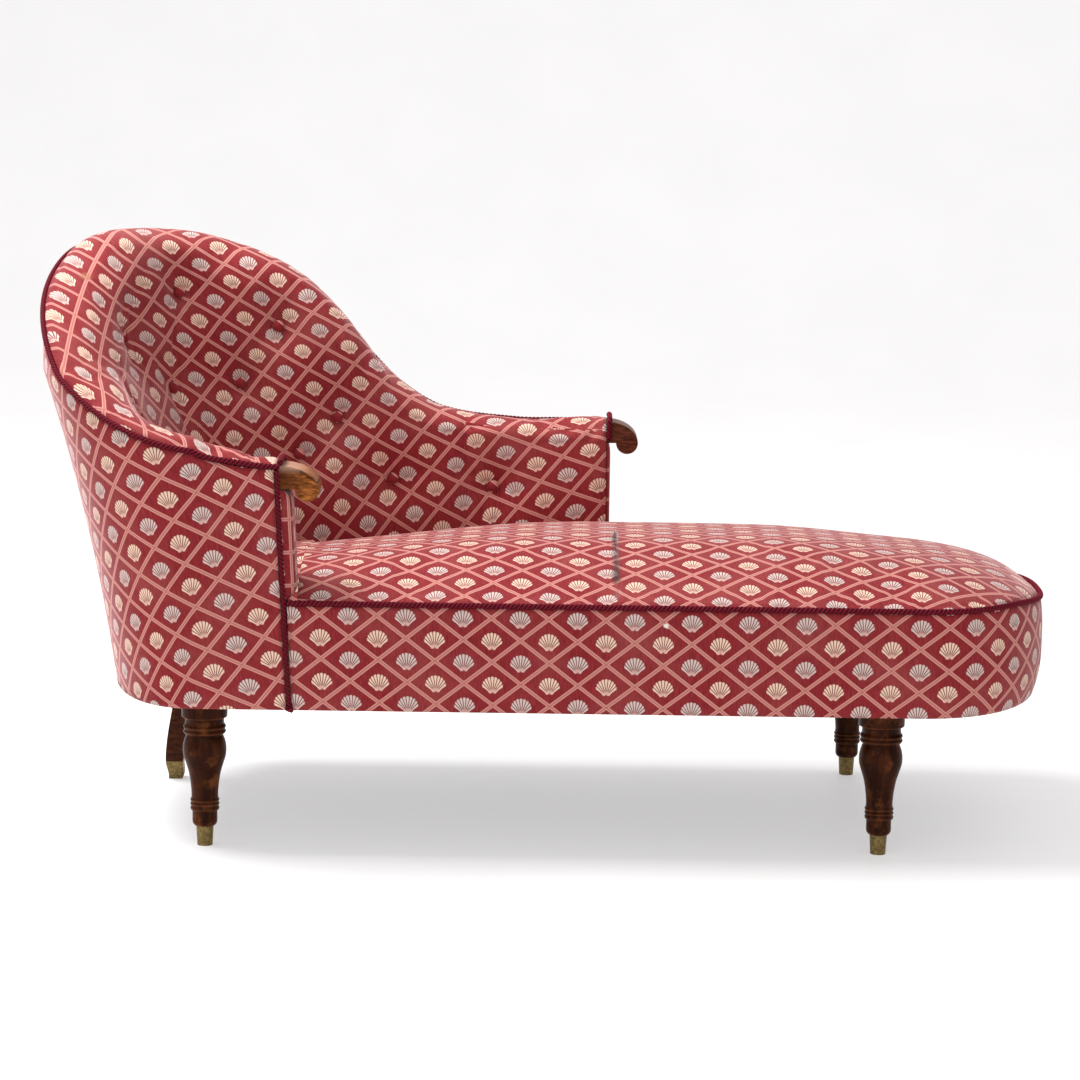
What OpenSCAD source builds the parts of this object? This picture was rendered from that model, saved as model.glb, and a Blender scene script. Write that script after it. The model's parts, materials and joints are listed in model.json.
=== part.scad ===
// Fainting couch: a chaise with a high upholstered head, a long back that sweeps down to a low arm,
// a short near arm, a crowned seat and a rounded foot.
// X runs from the head (-X) to the foot (+X), the near side faces -Y, and Z is up.
// The origin is on the floor, under the middle of the couch. All lengths are in millimetres.

/* [Overall] */
// Length of the couch from the head rope to the foot border
couch_l = 1477; // [1400:1:1560]
// Width of the couch across the seat border
couch_w = 622; // [590:1:650]
// Height of the underside of the upholstery above the floor
under_z = 210; // [195:1:225]
// Height of the seat rope above the floor
seat_z = 364; // [356:1:380]
// Height of the arm rope above the floor
arm_z = 558; // [540:1:580]
// Height of the back rope above the floor at its highest place
back_z = 826; // [790:1:860]

/* [Head and foot] */
// Reach of the head outline past its centre line, at the underside
head_r = 139; // [130:1:150]
// Outward lean of the head from the underside to its full reach
head_lean = 106; // [90:1:120]
// Height at which the head reaches its full lean
lean_z = 660; // [640:1:700]
// Reach of the foot outline past its centre line
foot_r = 208.5; // [200:0.5:215]
// How far the sides draw in at the underside
side_draw = 8; // [4:0.5:10]
// How far the foot draws in at the underside
foot_draw = 10.5; // [6:0.5:12]
// How far the foot border draws in at the seat rope
foot_top_draw = 8; // [4:0.5:10]
// Height of the stretch over which the sides draw in
draw_h = 60; // [50:1:70]

/* [Arms and back] */
// Distance of the near arm's front from the head's end of the couch, at the underside
near_arm_l = 385.5; // [374:0.5:398]
// How far the near arm's front leans towards the head at its top
near_rake = 18; // [10:1:24]
// Distance of the far arm's front from the head's end of the couch
far_arm_l = 834.5; // [818:0.5:848]
// Width of the roll along the arms
arm_roll_w = 75; // [72:1:80]
// Width of the roll at the head
head_roll_w = 124; // [115:1:135]
// Depth of the rounded top of the arm roll
arm_roll_h = 36; // [32:1:40]
// Depth of the rounded top of the head roll
head_roll_h = 62; // [55:1:70]
// Rise of the arm roll above its rope
arm_rise = 9.5; // [7:0.5:12]
// Rise of the head roll above its rope
head_rise = 21; // [17:0.5:25]
// Thickness that the back gains towards the seat, along the arms
arm_recline = 6; // [4:0.5:10]
// Thickness that the back gains towards the seat, at the head
head_recline = 22; // [16:0.5:28]
// Swell of the back's padding between the roll and the seat
back_swell = 12; // [8:0.5:16]
// Depth of a button tuft
tuft_d = 10; // [6:0.5:12]
// Radius of a button tuft
tuft_r = 48; // [40:1:55]
// Diameter of a covered button
button_d = 18; // [15:0.5:20]
// Height of a covered button
button_h = 7; // [5:0.5:8]
// Bulge of the near arm's front panel at its top
near_bulge = 15; // [11:0.5:16]
// Bulge of the near arm's front panel by the seat
near_low_bulge = 22; // [18:0.5:24]
// Bulge of the far arm's front panel
far_bulge = 4; // [3:0.5:8]

/* [Seat] */
// Rise of the seat's crown above its rope
crown_h = 62; // [54:1:68]
// Rise of the seat's crown above its crease, by the head
head_crown_h = 50; // [42:1:56]
// Fall of the seat's crown at the foot
foot_fall = 23; // [14:1:26]
// Height of the seat's crease by the head
crease_head_z = 345; // [342:1:352]
// Height of the seat's crease by the far arm's front
crease_arm_z = 390; // [380:1:395]

/* [Cloth and rope] */
// Thickness of the covering cloth with its wadding
cloth_t = 2.5; // [2:0.1:3]
// Diameter of the edging rope
rope_d = 8.5; // [7:0.5:9]
// Gap between a soft piece and its neighbour
soft_gap = 0.3; // [0.2:0.05:0.4]
// Thickness of the padding under the seat border
pad_t = 10; // [8:0.5:11]

/* [Frame] */
// Thickness of the seat rails
rail_t = 27; // [24:1:30]
// Height of the seat rails
rail_h = 99; // [94:1:102]
// Thickness of the arm posts, uprights and top rail
post_t = 20; // [18:1:22]
// Depth of an arm post along the couch
post_w = 42; // [38:1:46]
// Height of the top rail
top_rail_h = 36; // [30:1:40]
// Width of an upright
upright_w = 40; // [34:1:46]
// Height of a cross rail
cross_h = 40; // [34:1:44]
// Width of a cross rail
cross_w = 30; // [26:1:34]
// Gap between two pieces of wood that meet
wood_gap = 0.2; // [0.1:0.05:0.3]

/* [Legs] */
// Distance of the turned legs' axes from the couch's sides
leg_side_in = 66; // [63:1:71]
// Distance of the turned leg at the head from the head's end of the couch
head_leg_l = 260.5; // [257:0.5:264]
// Distance of the turned legs at the foot from the foot's end of the couch
foot_leg_l = 254.5; // [249:0.5:262]
// Radius of the turned leg's bulb
bulb_r = 31; // [28:0.5:34]
// Height of the brass ferrules
ferrule_h = 29; // [25:1:32]
// Top radius of a turned leg's ferrule
ferrule_r = 12.5; // [11.5:0.5:13.5]
// Wall of the ferrules
ferrule_t = 1.5; // [1.2:0.1:2]
// Radius of the tenon on a turned leg
tenon_r = 10; // [8:0.5:11]
// Length of the tenon on a turned leg
tenon_l = 50; // [40:1:60]
// Width of the curved leg at its top
sabre_w = 48; // [44:1:52]
// Width of the curved leg at its foot
sabre_foot_w = 21; // [18:1:24]
// How far the curved leg's foot stands out towards the head
sabre_foot_out = 42; // [34:1:50]
// How far the curved leg's foot stands out towards the far side
sabre_foot_side = 21; // [16:1:26]

/* [Scrolls] */
// Length of the near arm's scroll
near_scroll_l = 57; // [52:1:62]
// Length of the far arm's scroll
far_scroll_l = 49; // [46:1:56]
// Thickness of an arm scroll across the arm
scroll_t = 56; // [50:1:60]
// Radius of the scroll's rolled end
scroll_r = 17; // [15:0.5:18.5]
// Height of the scroll's neck
scroll_neck_h = 33; // [30:0.5:35]
// Height of the far scroll's top above the rope's end
scroll_lift = 5; // [0:0.5:6]

/* [Hidden] */

$fn = 64;
near_side = -1;
far_side = 1;
rope_r = rope_d / 2;
// Distance kept by the cloth from the middle of a rope
rope_seat = rope_r + soft_gap;
half_l = couch_l / 2;
half_w = couch_w / 2;
head_x = -half_l + rope_r + head_r + head_lean;
foot_x = half_l - foot_r;
near_arm_x = -half_l + near_arm_l;
far_arm_x = -half_l + far_arm_l;
leg_y = half_w - leg_side_in;
head_leg_x = -half_l + head_leg_l;
foot_leg_x = half_l - foot_leg_l;
// Exponents of the rounded ends, where 2 is an ellipse
head_round_share = 2.1;
foot_round_share = 2.15;
crown_power_share = 3;
foot_power_share = 2.6;
// Part of the crown's height by which its near half is fuller than its far half
crown_lean_share = 0.25;
rise_power_share = 0.4;
facing_power_share = 4;
sabre_power_share = 0.8;
// Part of the head's lean that grows evenly with height
even_lean_share = 0.6;
// Height, in draw heights, below which the foot border stands upright
foot_draw_share = 1.5;
// Step along the back over which a slope is taken
step_share = 0.01;
// Heights of the layers from the underside up
dust_t = 1.6;
dust_z = under_z + soft_gap;
web_t = 1.4;
web_z = dust_z + dust_t + soft_gap;
cross_web_z = web_z + web_t + soft_gap;
rail_z = cross_web_z + web_t + soft_gap;
rail_top_z = rail_z + rail_h;
canvas_z = rail_top_z + soft_gap;
canvas_t = 1.6;
stuff_z = canvas_z + canvas_t + soft_gap;
// Setback of the rails from the outline at the underside
rail_in = cloth_t + pad_t + 2 * soft_gap;
post_mid_in = rail_in + post_t / 2;
// Distance of the top rail from the leaning outside of the back
top_rail_in = rail_in + side_draw;
top_rail_drop = side_draw;
// Room between the back's padding and the frame behind it
stuff_clear = 5 * soft_gap;
// Distance of the padding's back from the outside of the back
stuff_in = top_rail_in + post_t + soft_gap + web_t + stuff_clear;
stuff_slack = head_recline;
// Height of the rope as a share of the rise from the arms to the top of the back.
// The first number runs from -1 at the near arm's front over 0 and 1, where the rounded head
// starts and ends, to 2 at the far arm's front.
BACK_TOP_SHARES = [
    [-1, -0.01], [-0.5, 0.012], [0, 0.067], [0.16, 0.187], [0.29, 0.377], [0.36, 0.522],
    [0.44, 0.687], [0.54, 0.86], [0.65, 0.985], [0.78, 1], [0.92, 0.972], [1, 0.922],
    [1.1, 0.845], [1.2, 0.72], [1.3, 0.515], [1.37, 0.335], [1.45, 0.165], [1.56, 0.03],
    [1.75, -0.028], [1.88, -0.03], [2, -0.03]
];
// Buttons: place along the back as above, and place on the padding, where 0 to 1 goes over the
// roll and 1 to 2 down the inside to the seat
BUTTON_SHARES = [
    [-0.19, 1.32], [0.22, 1.06], [0.33, 1.36], [0.522, 1.1], [0.741, 1.367], [0.827, 1.06],
    [1.037, 1.324], [1.134, 1.082], [1.191, 1.527], [1.289, 1.302], [1.435, 1.435], [1.7, 1.34]
];
ROLL_SHARES = [0.05, 0.17, 0.3, 0.45, 0.62, 0.81, 1, 1.15, 1.3, 1.45, 1.62, 1.81, 2];

// Numbers
function clamp(v, lo, hi) = min(max(v, lo), hi);
function lerp(a, b, t) = a + (b - a) * t;
function spow(v, e) = sign(v) * pow(abs(v), e);
function smooth(t) = let (c = clamp(t, 0, 1)) c * c * (3 - 2 * c);
function total(v, i = 0) = i >= len(v) ? 0 : v[i] + total(v, i + 1);
function steps(a, b, n) = [for (i = [0 : n]) lerp(a, b, i / n)];
function flip(list) = [for (i = [len(list) - 1 : -1 : 0]) list[i]];

// A smooth curve through a table of [place, value] pairs
function slope_at(tab, i) =
    i == 0 || i == len(tab) - 1 ? 0
    : (tab[i + 1][1] - tab[i - 1][1]) / (tab[i + 1][0] - tab[i - 1][0]);
function span_of(tab, s, i = 0) = i >= len(tab) - 2 || s < tab[i + 1][0] ? i : span_of(tab, s, i + 1);
function along(tab, s) =
    let (
        i = span_of(tab, s),
        h = tab[i + 1][0] - tab[i][0],
        t = clamp((s - tab[i][0]) / h, 0, 1),
        t2 = t * t,
        t3 = t2 * t
    )
    (2 * t3 - 3 * t2 + 1) * tab[i][1] + (t3 - 2 * t2 + t) * h * slope_at(tab, i)
    + (3 * t2 - 2 * t3) * tab[i + 1][1] + (t3 - t2) * h * slope_at(tab, i + 1);

// Outline of the couch at each height
function drawn_in(z) = pow(1 - clamp((z - under_z) / draw_h, 0, 1), 2);
function side_y(z) = half_w - side_draw * drawn_in(z);
function lean_at(z) =
    let (k = clamp((z - under_z) / (lean_z - under_z), 0, 1))
    head_lean * lerp(k * k, k, even_lean_share);
function head_a(z) = head_r + lean_at(z);
upright_z = under_z + foot_draw_share * draw_h;
function foot_a(z) =
    let (k = clamp((z - upright_z) / (seat_z - upright_z), 0, 1))
    foot_r - foot_draw * drawn_in(z) - foot_top_draw * k * k;
function near_x(z) = near_arm_x - near_rake * clamp((z - under_z) / (arm_z - under_z), 0, 1);

// Place s of an outline with straight sides and one rounded end: [x, y, inward x, inward y]
function outline(s, cx, a, b, n, x0, x1, way) =
    s <= 0 ? [lerp(cx, x0, -s), -b, 0, 1]
    : s >= 1 ? [lerp(cx, x1, s - 1), b, 0, -1]
    : let (turn = 180 * s - 90, c = way * pow(cos(turn), 2 / n), d = spow(sin(turn), 2 / n))
    [cx + a * c, b * d, -c, -d];
function inset(p, q, z) = [p[0] + q * p[2], p[1] + q * p[3], z];

// A point q inside the head's outline, with the ends set back from the arm fronts
function head_out(s, z, back = 0) =
    outline(s, head_x, head_a(z), side_y(z), head_round_share, near_x(z) - back, far_arm_x - back, -1);
function head_pt(s, q, z, back = 0) = inset(head_out(s, z, back), q, z);
function head_flat_pt(s, q, z, back = 0) =
    inset(outline(s, head_x, head_r, side_y(under_z), head_round_share,
        near_arm_x - back, far_arm_x - back, -1), q, z);
// A point q inside the seat border's outline, with the ends set forward of the arm fronts
function foot_pt(s, q, z, fwd = 0) =
    inset(outline(s, foot_x, foot_a(z), side_y(z), foot_round_share,
        near_x(z) + fwd, far_arm_x + fwd, 1), q, z);
function foot_flat_pt(s, q, z, fwd = 0) =
    inset(outline(s, foot_x, foot_a(under_z), side_y(under_z), foot_round_share,
        near_x(z) + fwd, far_arm_x + fwd, 1), q, z);

// Section of the padded back: how far the roll and the inside wall stand in, and how high
function top_share(s) = along(BACK_TOP_SHARES, s);
function rope_z(s) = lerp(arm_z, back_z, top_share(s));
function head_share(s) = clamp(top_share(s), 0, 1);
function roll_w(s) = lerp(arm_roll_w, head_roll_w, sqrt(head_share(s)));
function roll_h(s) = lerp(arm_roll_h, head_roll_h, head_share(s));
function roll_rise(s) = lerp(arm_rise, head_rise, pow(head_share(s), rise_power_share));
function recline(s) = lerp(arm_recline, head_recline, head_share(s));
function section(s, f) =
    let (
        w = roll_w(s),
        h = roll_h(s),
        rise = roll_rise(s),
        first = asin((h - rise) / h),
        mid_z = rope_z(s) + rise - h
    )
    f <= 1 ?
        let (turn = lerp(first, 180, f))
        [w * (cos(first) - cos(turn)) / (cos(first) + 1), mid_z + h * sin(turn)]
    :
        let (t = f - 1)
        [w + back_swell * sin(180 * t) + recline(s) * t, lerp(mid_z, stuff_z, t)];
// Direction from the padding's surface into the padding, in the same section
function into(s, f) =
    let (
        a = section(s, max(f - step_share, 0)),
        b = section(s, min(f + step_share, 2)),
        g = (b - a) / norm(b - a)
    )
    [g[1], -g[0]];
function section_pt(s, f, depth) =
    let (p = section(s, f) + depth * into(s, f))
    head_pt(s, p[0], p[1]);
BUTTON_PTS = [for (b = BUTTON_SHARES) section_pt(b[0], b[1], 0)];
function tuft_at(p) =
    total([for (b = BUTTON_PTS) tuft_d * exp(-pow(norm(p - b) / tuft_r, 2))]);
function padded_pt(s, f, depth) = section_pt(s, f, depth + tuft_at(section_pt(s, f, 0)));

// Places along the back at which its pieces have a section, with one through each button
function before(v, list) = [for (a = list) if (a < v) a];
function after(v, list) = [for (a = list) if (a > v) a];
function same(v, list) = [for (a = list) if (a == v) a];
function sorted(list) =
    len(list) <= 1 ? list
    : let (v = list[floor(len(list) / 2)])
    concat(sorted(before(v, list)), same(v, list), sorted(after(v, list)));
KNOT_SHARES = sorted(concat([-1, 0, 0.62, 1, 1.36, 1.85, 2], [for (b = BUTTON_SHARES) b[0]]));
STATION_STEP_SHARE = 0.06;
STATIONS = concat(
    [for (i = [0 : len(KNOT_SHARES) - 2])
        let (
            a = KNOT_SHARES[i],
            b = KNOT_SHARES[i + 1],
            n = max(1, round((b - a) / STATION_STEP_SHARE / (a < 0 ? 4 : 1)))
        )
        for (k = [0 : n - 1]) lerp(a, b, k / n)],
    [2]
);
function nearest(f, i = 1) =
    i >= len(ROLL_SHARES) - 2 || ROLL_SHARES[i] + ROLL_SHARES[i + 1] > 2 * f ? i : nearest(f, i + 1);
// The places over the roll and down the wall, moved so that one of them meets the button
function levels(s) =
    let (hit = [for (b = BUTTON_SHARES) if (abs(b[0] - s) < 0.001) b[1]])
    len(hit) == 0 ? ROLL_SHARES
    : let (k = nearest(hit[0]))
    [for (i = [0 : len(ROLL_SHARES) - 1]) i == k ? hit[0] : ROLL_SHARES[i]];

// Bodies swept through a row of closed sections, every section with as many points. The second
// half of a section runs back along the first, so its faces are split the other way round.
module loft(rows, turned = false) {
    rings = turned ? flip(rows) : rows;
    m = len(rings);
    n = len(rings[0]);
    last = (m - 1) * n;
    polyhedron(
        points = [for (r = rings) each r],
        faces = concat(
            [for (i = [0 : m - 2]) for (j = [0 : n - 1])
                let (k = (j + 1) % n, a = i * n + j, b = i * n + k, c = (i + 1) * n + k, d = (i + 1) * n + j)
                each j < n / 2 ? [[a, b, c], [a, c, d]] : [[a, b, d], [b, c, d]]],
            [for (j = [0 : n / 2 - 2]) each [[n - 2 - j, j + 1, j], [n - 1 - j, n - 2 - j, j]]],
            [for (j = [0 : n / 2 - 2]) each [
                [last + j, last + j + 1, last + n - 2 - j], [last + j, last + n - 2 - j, last + n - 1 - j]
            ]]
        ),
        convexity = 8
    );
}

// A round rope through a row of points
function cross_dir(a, b) = let (c = cross(a, b)) c / norm(c);
function heading(path, i) =
    let (d = path[min(i + 1, len(path) - 1)] - path[max(i - 1, 0)])
    d / norm(d);
module rope(path, r) {
    sides = 8;
    loft([for (i = [0 : len(path) - 1])
        let (t = heading(path, i), u = cross_dir(t, abs(t[2]) > 0.9 ? [0, 1, 0] : [0, 0, 1]), v = cross(u, t))
        [for (k = [0 : sides - 1]) path[i] + r * (cos(360 * k / sides) * u + sin(360 * k / sides) * v)]]);
}

// Frame of the seat
module side_rail(side) {
    y = side_y(under_z) - rail_in;
    color("burlywood")
    translate([head_x + wood_gap, side > 0 ? y - rail_t : -y, rail_z])
    difference() {
        cube([foot_x - head_x - 2 * wood_gap, rail_t, rail_h]);
        translate([-head_x - wood_gap, side > 0 ? rail_t - y : y, -rail_z])
        screw_holes(side);
    }
}
module front_rail() {
    side_rail(near_side);
}
module back_rail() {
    side_rail(far_side);
}
module bow_rail(outer, inner) {
    color("burlywood")
    translate([0, 0, rail_z])
    linear_extrude(rail_h)
    polygon([for (p = concat(outer, flip(inner))) [p[0], p[1]]]);
}
HEAD_ROUND = [for (s = STATIONS) if (s >= 0 && s <= 1) s];
foot_steps = 24;
FOOT_ROUND = steps(0, 1, foot_steps);
module head_bow_rail() {
    bow_rail([for (s = HEAD_ROUND) head_flat_pt(s, rail_in, 0)],
        [for (s = HEAD_ROUND) head_flat_pt(s, rail_in + rail_t, 0)]);
}
module foot_bow_rail() {
    bow_rail([for (s = FOOT_ROUND) foot_flat_pt(s, rail_in, 0)],
        [for (s = FOOT_ROUND) foot_flat_pt(s, rail_in + rail_t, 0)]);
}
rail_inner_y = side_y(under_z) - rail_in - rail_t;
CROSS_RAIL_SHARES = [0.28, 0.62];
module cross_rails() {
    color("burlywood")
    for (k = CROSS_RAIL_SHARES)
        translate([lerp(head_x, foot_x, k), 0, rail_z + (cross_h + web_t) / 2 + wood_gap])
        cube([cross_w, 2 * (rail_inner_y - wood_gap), cross_h], center = true);
}

// Blocks in the corners of the frame, which hold the legs, and their screws
block_l = 52;
block_w = 48;
block_h = 70;
block_outer_y = rail_inner_y - wood_gap;
screw_r = 2.5;
screw_pilot_r = screw_r + wood_gap;
screw_head_r = 5;
screw_head_h = 3;
screw_l = 60;
screw_rise = 16;
screw_out = 3;
sabre_head_out = 43;
sabre_side_in = 171;
sabre_top_x = head_x - sabre_head_out;
sabre_top_y = half_w - sabre_side_in;
module inside_rails() {
    translate([0, 0, rail_z])
    linear_extrude(block_h)
    flat_sheet(rail_in + rail_t + wood_gap);
}
module tenon_hole(x, y) {
    translate([x, y, rail_z - block_h])
    cylinder(r = tenon_r + wood_gap, h = block_h + tenon_l + wood_gap);
}
module block_at(x, side) {
    y0 = side > 0 ? block_outer_y - block_w : -block_outer_y;
    difference() {
        intersection() {
            translate([x - block_l / 2, y0, rail_z])
            cube([block_l, block_w, block_h]);
            inside_rails();
        }
        tenon_hole(x, side * leg_y);
        screw_holes(side);
    }
}
module sabre_block() {
    difference() {
        intersection() {
            translate([sabre_top_x + sabre_w / 2 - head_r, sabre_top_y - sabre_w / 2, rail_z])
            cube([head_r, sabre_w, block_h]);
            inside_rails();
        }
        tenon_hole(sabre_top_x, sabre_top_y);
    }
}
module leg_blocks() {
    color("tan") {
        block_at(head_leg_x, near_side);
        block_at(foot_leg_x, near_side);
        block_at(foot_leg_x, far_side);
        sabre_block();
    }
}
module screw_line(x, side, r, h) {
    translate([x, side * (block_outer_y - block_w - screw_out), rail_z + block_h - screw_rise])
    rotate([-side * 90, 0, 0])
    cylinder(r = r, h = h, $fn = 24);
}
function screw_places(side) = side < 0 ? [head_leg_x, foot_leg_x] : [foot_leg_x];
module screws(side) {
    for (x = screw_places(side)) {
        screw_line(x, side, screw_r, screw_l);
        screw_line(x, side, screw_head_r, screw_head_h);
    }
}
module screw_holes(side) {
    for (x = screw_places(side))
        screw_line(x, side, screw_pilot_r, screw_l + wood_gap);
}
module block_screws() {
    color("dimgray") {
        screws(near_side);
        screws(far_side);
    }
}

// Frame of the arms and the back
module arm_post(side) {
    y0 = side_y(under_z) - rail_in - post_t;
    z0 = rail_top_z + wood_gap;
    z1 = rope_z(side < 0 ? -1 : 2) - top_rail_drop;
    front0 = side < 0 ? near_x(z0) : far_arm_x;
    front1 = side < 0 ? near_x(z1) : far_arm_x;
    color("burlywood")
    difference() {
        translate([0, side < 0 ? -y0 : y0 + post_t, 0])
        rotate([90, 0, 0])
        linear_extrude(post_t)
        polygon([
            [front0 - post_w, z0], [front0 - soft_gap, z0], [front1 - soft_gap, z1], [front1 - post_w, z1]
        ]);
        scroll_dowel(side, wood_gap);
    }
}
module near_arm_post() {
    arm_post(near_side);
}
module far_arm_post() {
    arm_post(far_side);
}
UPRIGHT_SHARES = [0.08, 0.27, 0.46, 0.65, 0.84, 1.02, 1.26, 1.55];
// Steepness of the rope along the back, and the length of the outline per unit of place
function run(s, q, z) = head_pt(s + step_share, q, z) - head_pt(s - step_share, q, z);
function slope(s, q = 0) =
    (rope_z(s + step_share) - rope_z(s - step_share)) / norm(run(s, q, rope_z(s)));
upright_drop = 3;
module upright(s) {
    z0 = rail_top_z + wood_gap;
    z1 = rope_z(s) - top_rail_drop - top_rail_h - upright_drop;
    top_in = top_rail_in + post_t / 2;
    low = outline(s, head_x, head_r, side_y(under_z), head_round_share, near_arm_x, far_arm_x, -1);
    side_dir = [-low[3], low[2], slope(s, top_in)];
    in_dir = [low[2], low[3], 0];
    color("burlywood")
    loft([for (t = steps(0, 1, 5))
        let (mid = head_pt(s, lerp(post_mid_in, top_in, t), lerp(z0, z1, t)))
        [for (c = [[-1, -1], [-1, 1], [1, 1], [1, -1]])
            let (way = [side_dir[0], side_dir[1], side_dir[2] * (t < 1 ? 0 : 1)])
            mid + c[0] * upright_w / 2 * way + c[1] * post_t / 2 * in_dir]], turned = true);
}
module back_uprights() {
    for (s = UPRIGHT_SHARES)
        upright(s);
}
// The top rail runs from post to post
rail_near_end = (post_w + 2 * wood_gap) / (near_x(arm_z) - head_x) - 1;
rail_far_end = 2 - (post_w + wood_gap) / (far_arm_x - head_x);
RAIL_STATIONS = concat(
    [rail_near_end], before(rail_far_end, after(rail_near_end, STATIONS)), [rail_far_end]
);
module top_rail() {
    color("burlywood")
    loft([for (s = RAIL_STATIONS)
        let (z1 = rope_z(s) - top_rail_drop, z0 = z1 - top_rail_h)
        [
            head_pt(s, top_rail_in, z0), head_pt(s, top_rail_in, z1),
            head_pt(s, top_rail_in + post_t, z1), head_pt(s, top_rail_in + post_t, z0)
        ]], turned = true);
}

// Turned legs: [radius as a share of the bulb, height as a share of the leg above the ferrule]
LEG_SHARES = [
    [0.48, 0], [0.54, 0.012], [0.57, 0.03], [0.58, 0.115], [0.63, 0.12], [0.665, 0.136], [0.63, 0.152],
    [0.67, 0.168], [0.63, 0.184], [0.67, 0.2], [0.62, 0.216], [0.615, 0.26], [0.66, 0.34], [0.75, 0.424],
    [0.88, 0.495], [0.97, 0.545], [1, 0.59], [0.98, 0.635], [0.92, 0.675], [0.86, 0.7], [0.84, 0.712],
    [0.92, 0.72], [0.98, 0.737], [0.93, 0.754], [0.98, 0.772], [0.93, 0.79], [0.9, 0.8],
    [0.91, 0.84], [1.03, 0.85], [1.05, 0.862], [1.05, 1]
];
ferrule_foot_share = 0.87;
leg_top_z = rail_z - wood_gap;
module turned_leg(x, side) {
    wood_h = leg_top_z - ferrule_h;
    peg_r = ferrule_r - ferrule_t - wood_gap;
    peg_foot_r = peg_r * ferrule_foot_share;
    color("saddlebrown")
    difference() {
        translate([x, side * leg_y, 0])
        rotate_extrude()
        polygon(concat(
            [[0, ferrule_t + wood_gap], [peg_foot_r, ferrule_t + wood_gap], [peg_r, ferrule_h]],
            [for (p = LEG_SHARES) [p[0] * bulb_r, ferrule_h + wood_gap + p[1] * (wood_h - wood_gap)]],
            [[tenon_r, leg_top_z], [tenon_r, leg_top_z + tenon_l], [0, leg_top_z + tenon_l]]
        ));
        ferrule_pin(x, side * leg_y, ferrule_r, wood_gap);
    }
}
module turned_ferrule(x, side) {
    in_r = ferrule_r - ferrule_t;
    color("darkgoldenrod")
    difference() {
        translate([x, side * leg_y, 0])
        rotate_extrude()
        polygon([
            [0, 0], [ferrule_r * ferrule_foot_share, 0], [ferrule_r, ferrule_h],
            [in_r, ferrule_h], [in_r * ferrule_foot_share, ferrule_t], [0, ferrule_t]
        ]);
        ferrule_pin(x, side * leg_y, ferrule_r, wood_gap);
    }
}
// A small pin through a ferrule's wall into the leg
pin_r = 1;
pin_l = 7;
pin_drop = 8;
module ferrule_pin(x, y, r, gap) {
    translate([x, y - r - pin_r / 2, ferrule_h - pin_drop])
    rotate([-90, 0, 0])
    cylinder(r = pin_r + gap, h = pin_l + gap, $fn = 24);
}
module leg_head_near() {
    turned_leg(head_leg_x, near_side);
}
module leg_foot_near() {
    turned_leg(foot_leg_x, near_side);
}
module leg_foot_far() {
    turned_leg(foot_leg_x, far_side);
}
module ferrule_head_near() {
    turned_ferrule(head_leg_x, near_side);
}
module ferrule_foot_near() {
    turned_ferrule(foot_leg_x, near_side);
}
module ferrule_foot_far() {
    turned_ferrule(foot_leg_x, far_side);
}

// The curved leg at the far corner of the head, square in section
function sabre_mid(z) =
    let (t = 1 - z / leg_top_z, k = t * t)
    [sabre_top_x - sabre_foot_out * k, sabre_top_y + sabre_foot_side * k];
function sabre_half(z) =
    lerp(sabre_foot_w, sabre_w, pow(clamp(z / leg_top_z, 0, 1), sabre_power_share)) / 2;
function sabre_ring(z, less) =
    let (m = sabre_mid(z), h = sabre_half(z) - less)
    [for (c = [[-1, -1], [1, -1], [1, 1], [-1, 1]]) [m[0] + c[0] * h, m[1] + c[1] * h, z]];
module leg_head_far_sabre() {
    top = [sabre_top_x, sabre_top_y, leg_top_z - tenon_r / 2];
    color("saddlebrown")
    union() {
        loft(flip([for (z = steps(ferrule_h + wood_gap, leg_top_z, 12)) sabre_ring(z, 0)]));
        loft(flip([for (z = steps(ferrule_t + wood_gap, ferrule_h + 2 * wood_gap, 3))
            sabre_ring(z, ferrule_t + wood_gap)]));
        translate(top)
        cylinder(r = tenon_r, h = tenon_l + tenon_r / 2);
    }
}
module ferrule_sabre() {
    color("darkgoldenrod")
    difference() {
        loft(flip([for (z = steps(0, ferrule_h, 4)) sabre_ring(z, 0)]));
        loft(flip([for (z = concat(steps(ferrule_t, ferrule_h, 3), [ferrule_h + ferrule_t]))
            sabre_ring(z, ferrule_t)]));
    }
}
module ferrule_pins() {
    color("goldenrod") {
        ferrule_pin(head_leg_x, -leg_y, ferrule_r, 0);
        ferrule_pin(foot_leg_x, -leg_y, ferrule_r, 0);
        ferrule_pin(foot_leg_x, leg_y, ferrule_r, 0);
    }
}

// Webbing, springs and canvas under the seat
web_w = 42;
WEB_Y_SHARES = [-0.72, -0.36, 0, 0.36, 0.72];
WEB_X_SHARES = [0.11, 0.23, 0.35, 0.47, 0.59, 0.71, 0.83, 1.09];
web_end_in = rail_in + rail_t / 2;
function reach(a, b, n, y) = a * pow(max(0, 1 - pow(abs(y) / b, n)), 1 / n);
module seat_webbing() {
    b = side_y(under_z) - web_end_in;
    color("wheat") {
        for (k = WEB_Y_SHARES) {
            y = k * rail_inner_y;
            edge = abs(y) + web_w / 2;
            x0 = head_x - reach(head_r - web_end_in, b, head_round_share, edge);
            x1 = foot_x + reach(foot_a(under_z) - web_end_in, b, foot_round_share, edge);
            translate([x0, y - web_w / 2, web_z])
            cube([x1 - x0, web_w, web_t]);
        }
        for (k = WEB_X_SHARES) {
            x = lerp(head_x, foot_x, k);
            y = k < 1 ? b : reach(b, foot_a(under_z) - web_end_in, foot_round_share, x + web_w / 2 - foot_x);
            translate([x - web_w / 2, -y, cross_web_z])
            cube([web_w, 2 * y, web_t]);
        }
    }
}
spring_r = 42;
spring_waist_r = 26;
spring_wire = 1.2;
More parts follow.
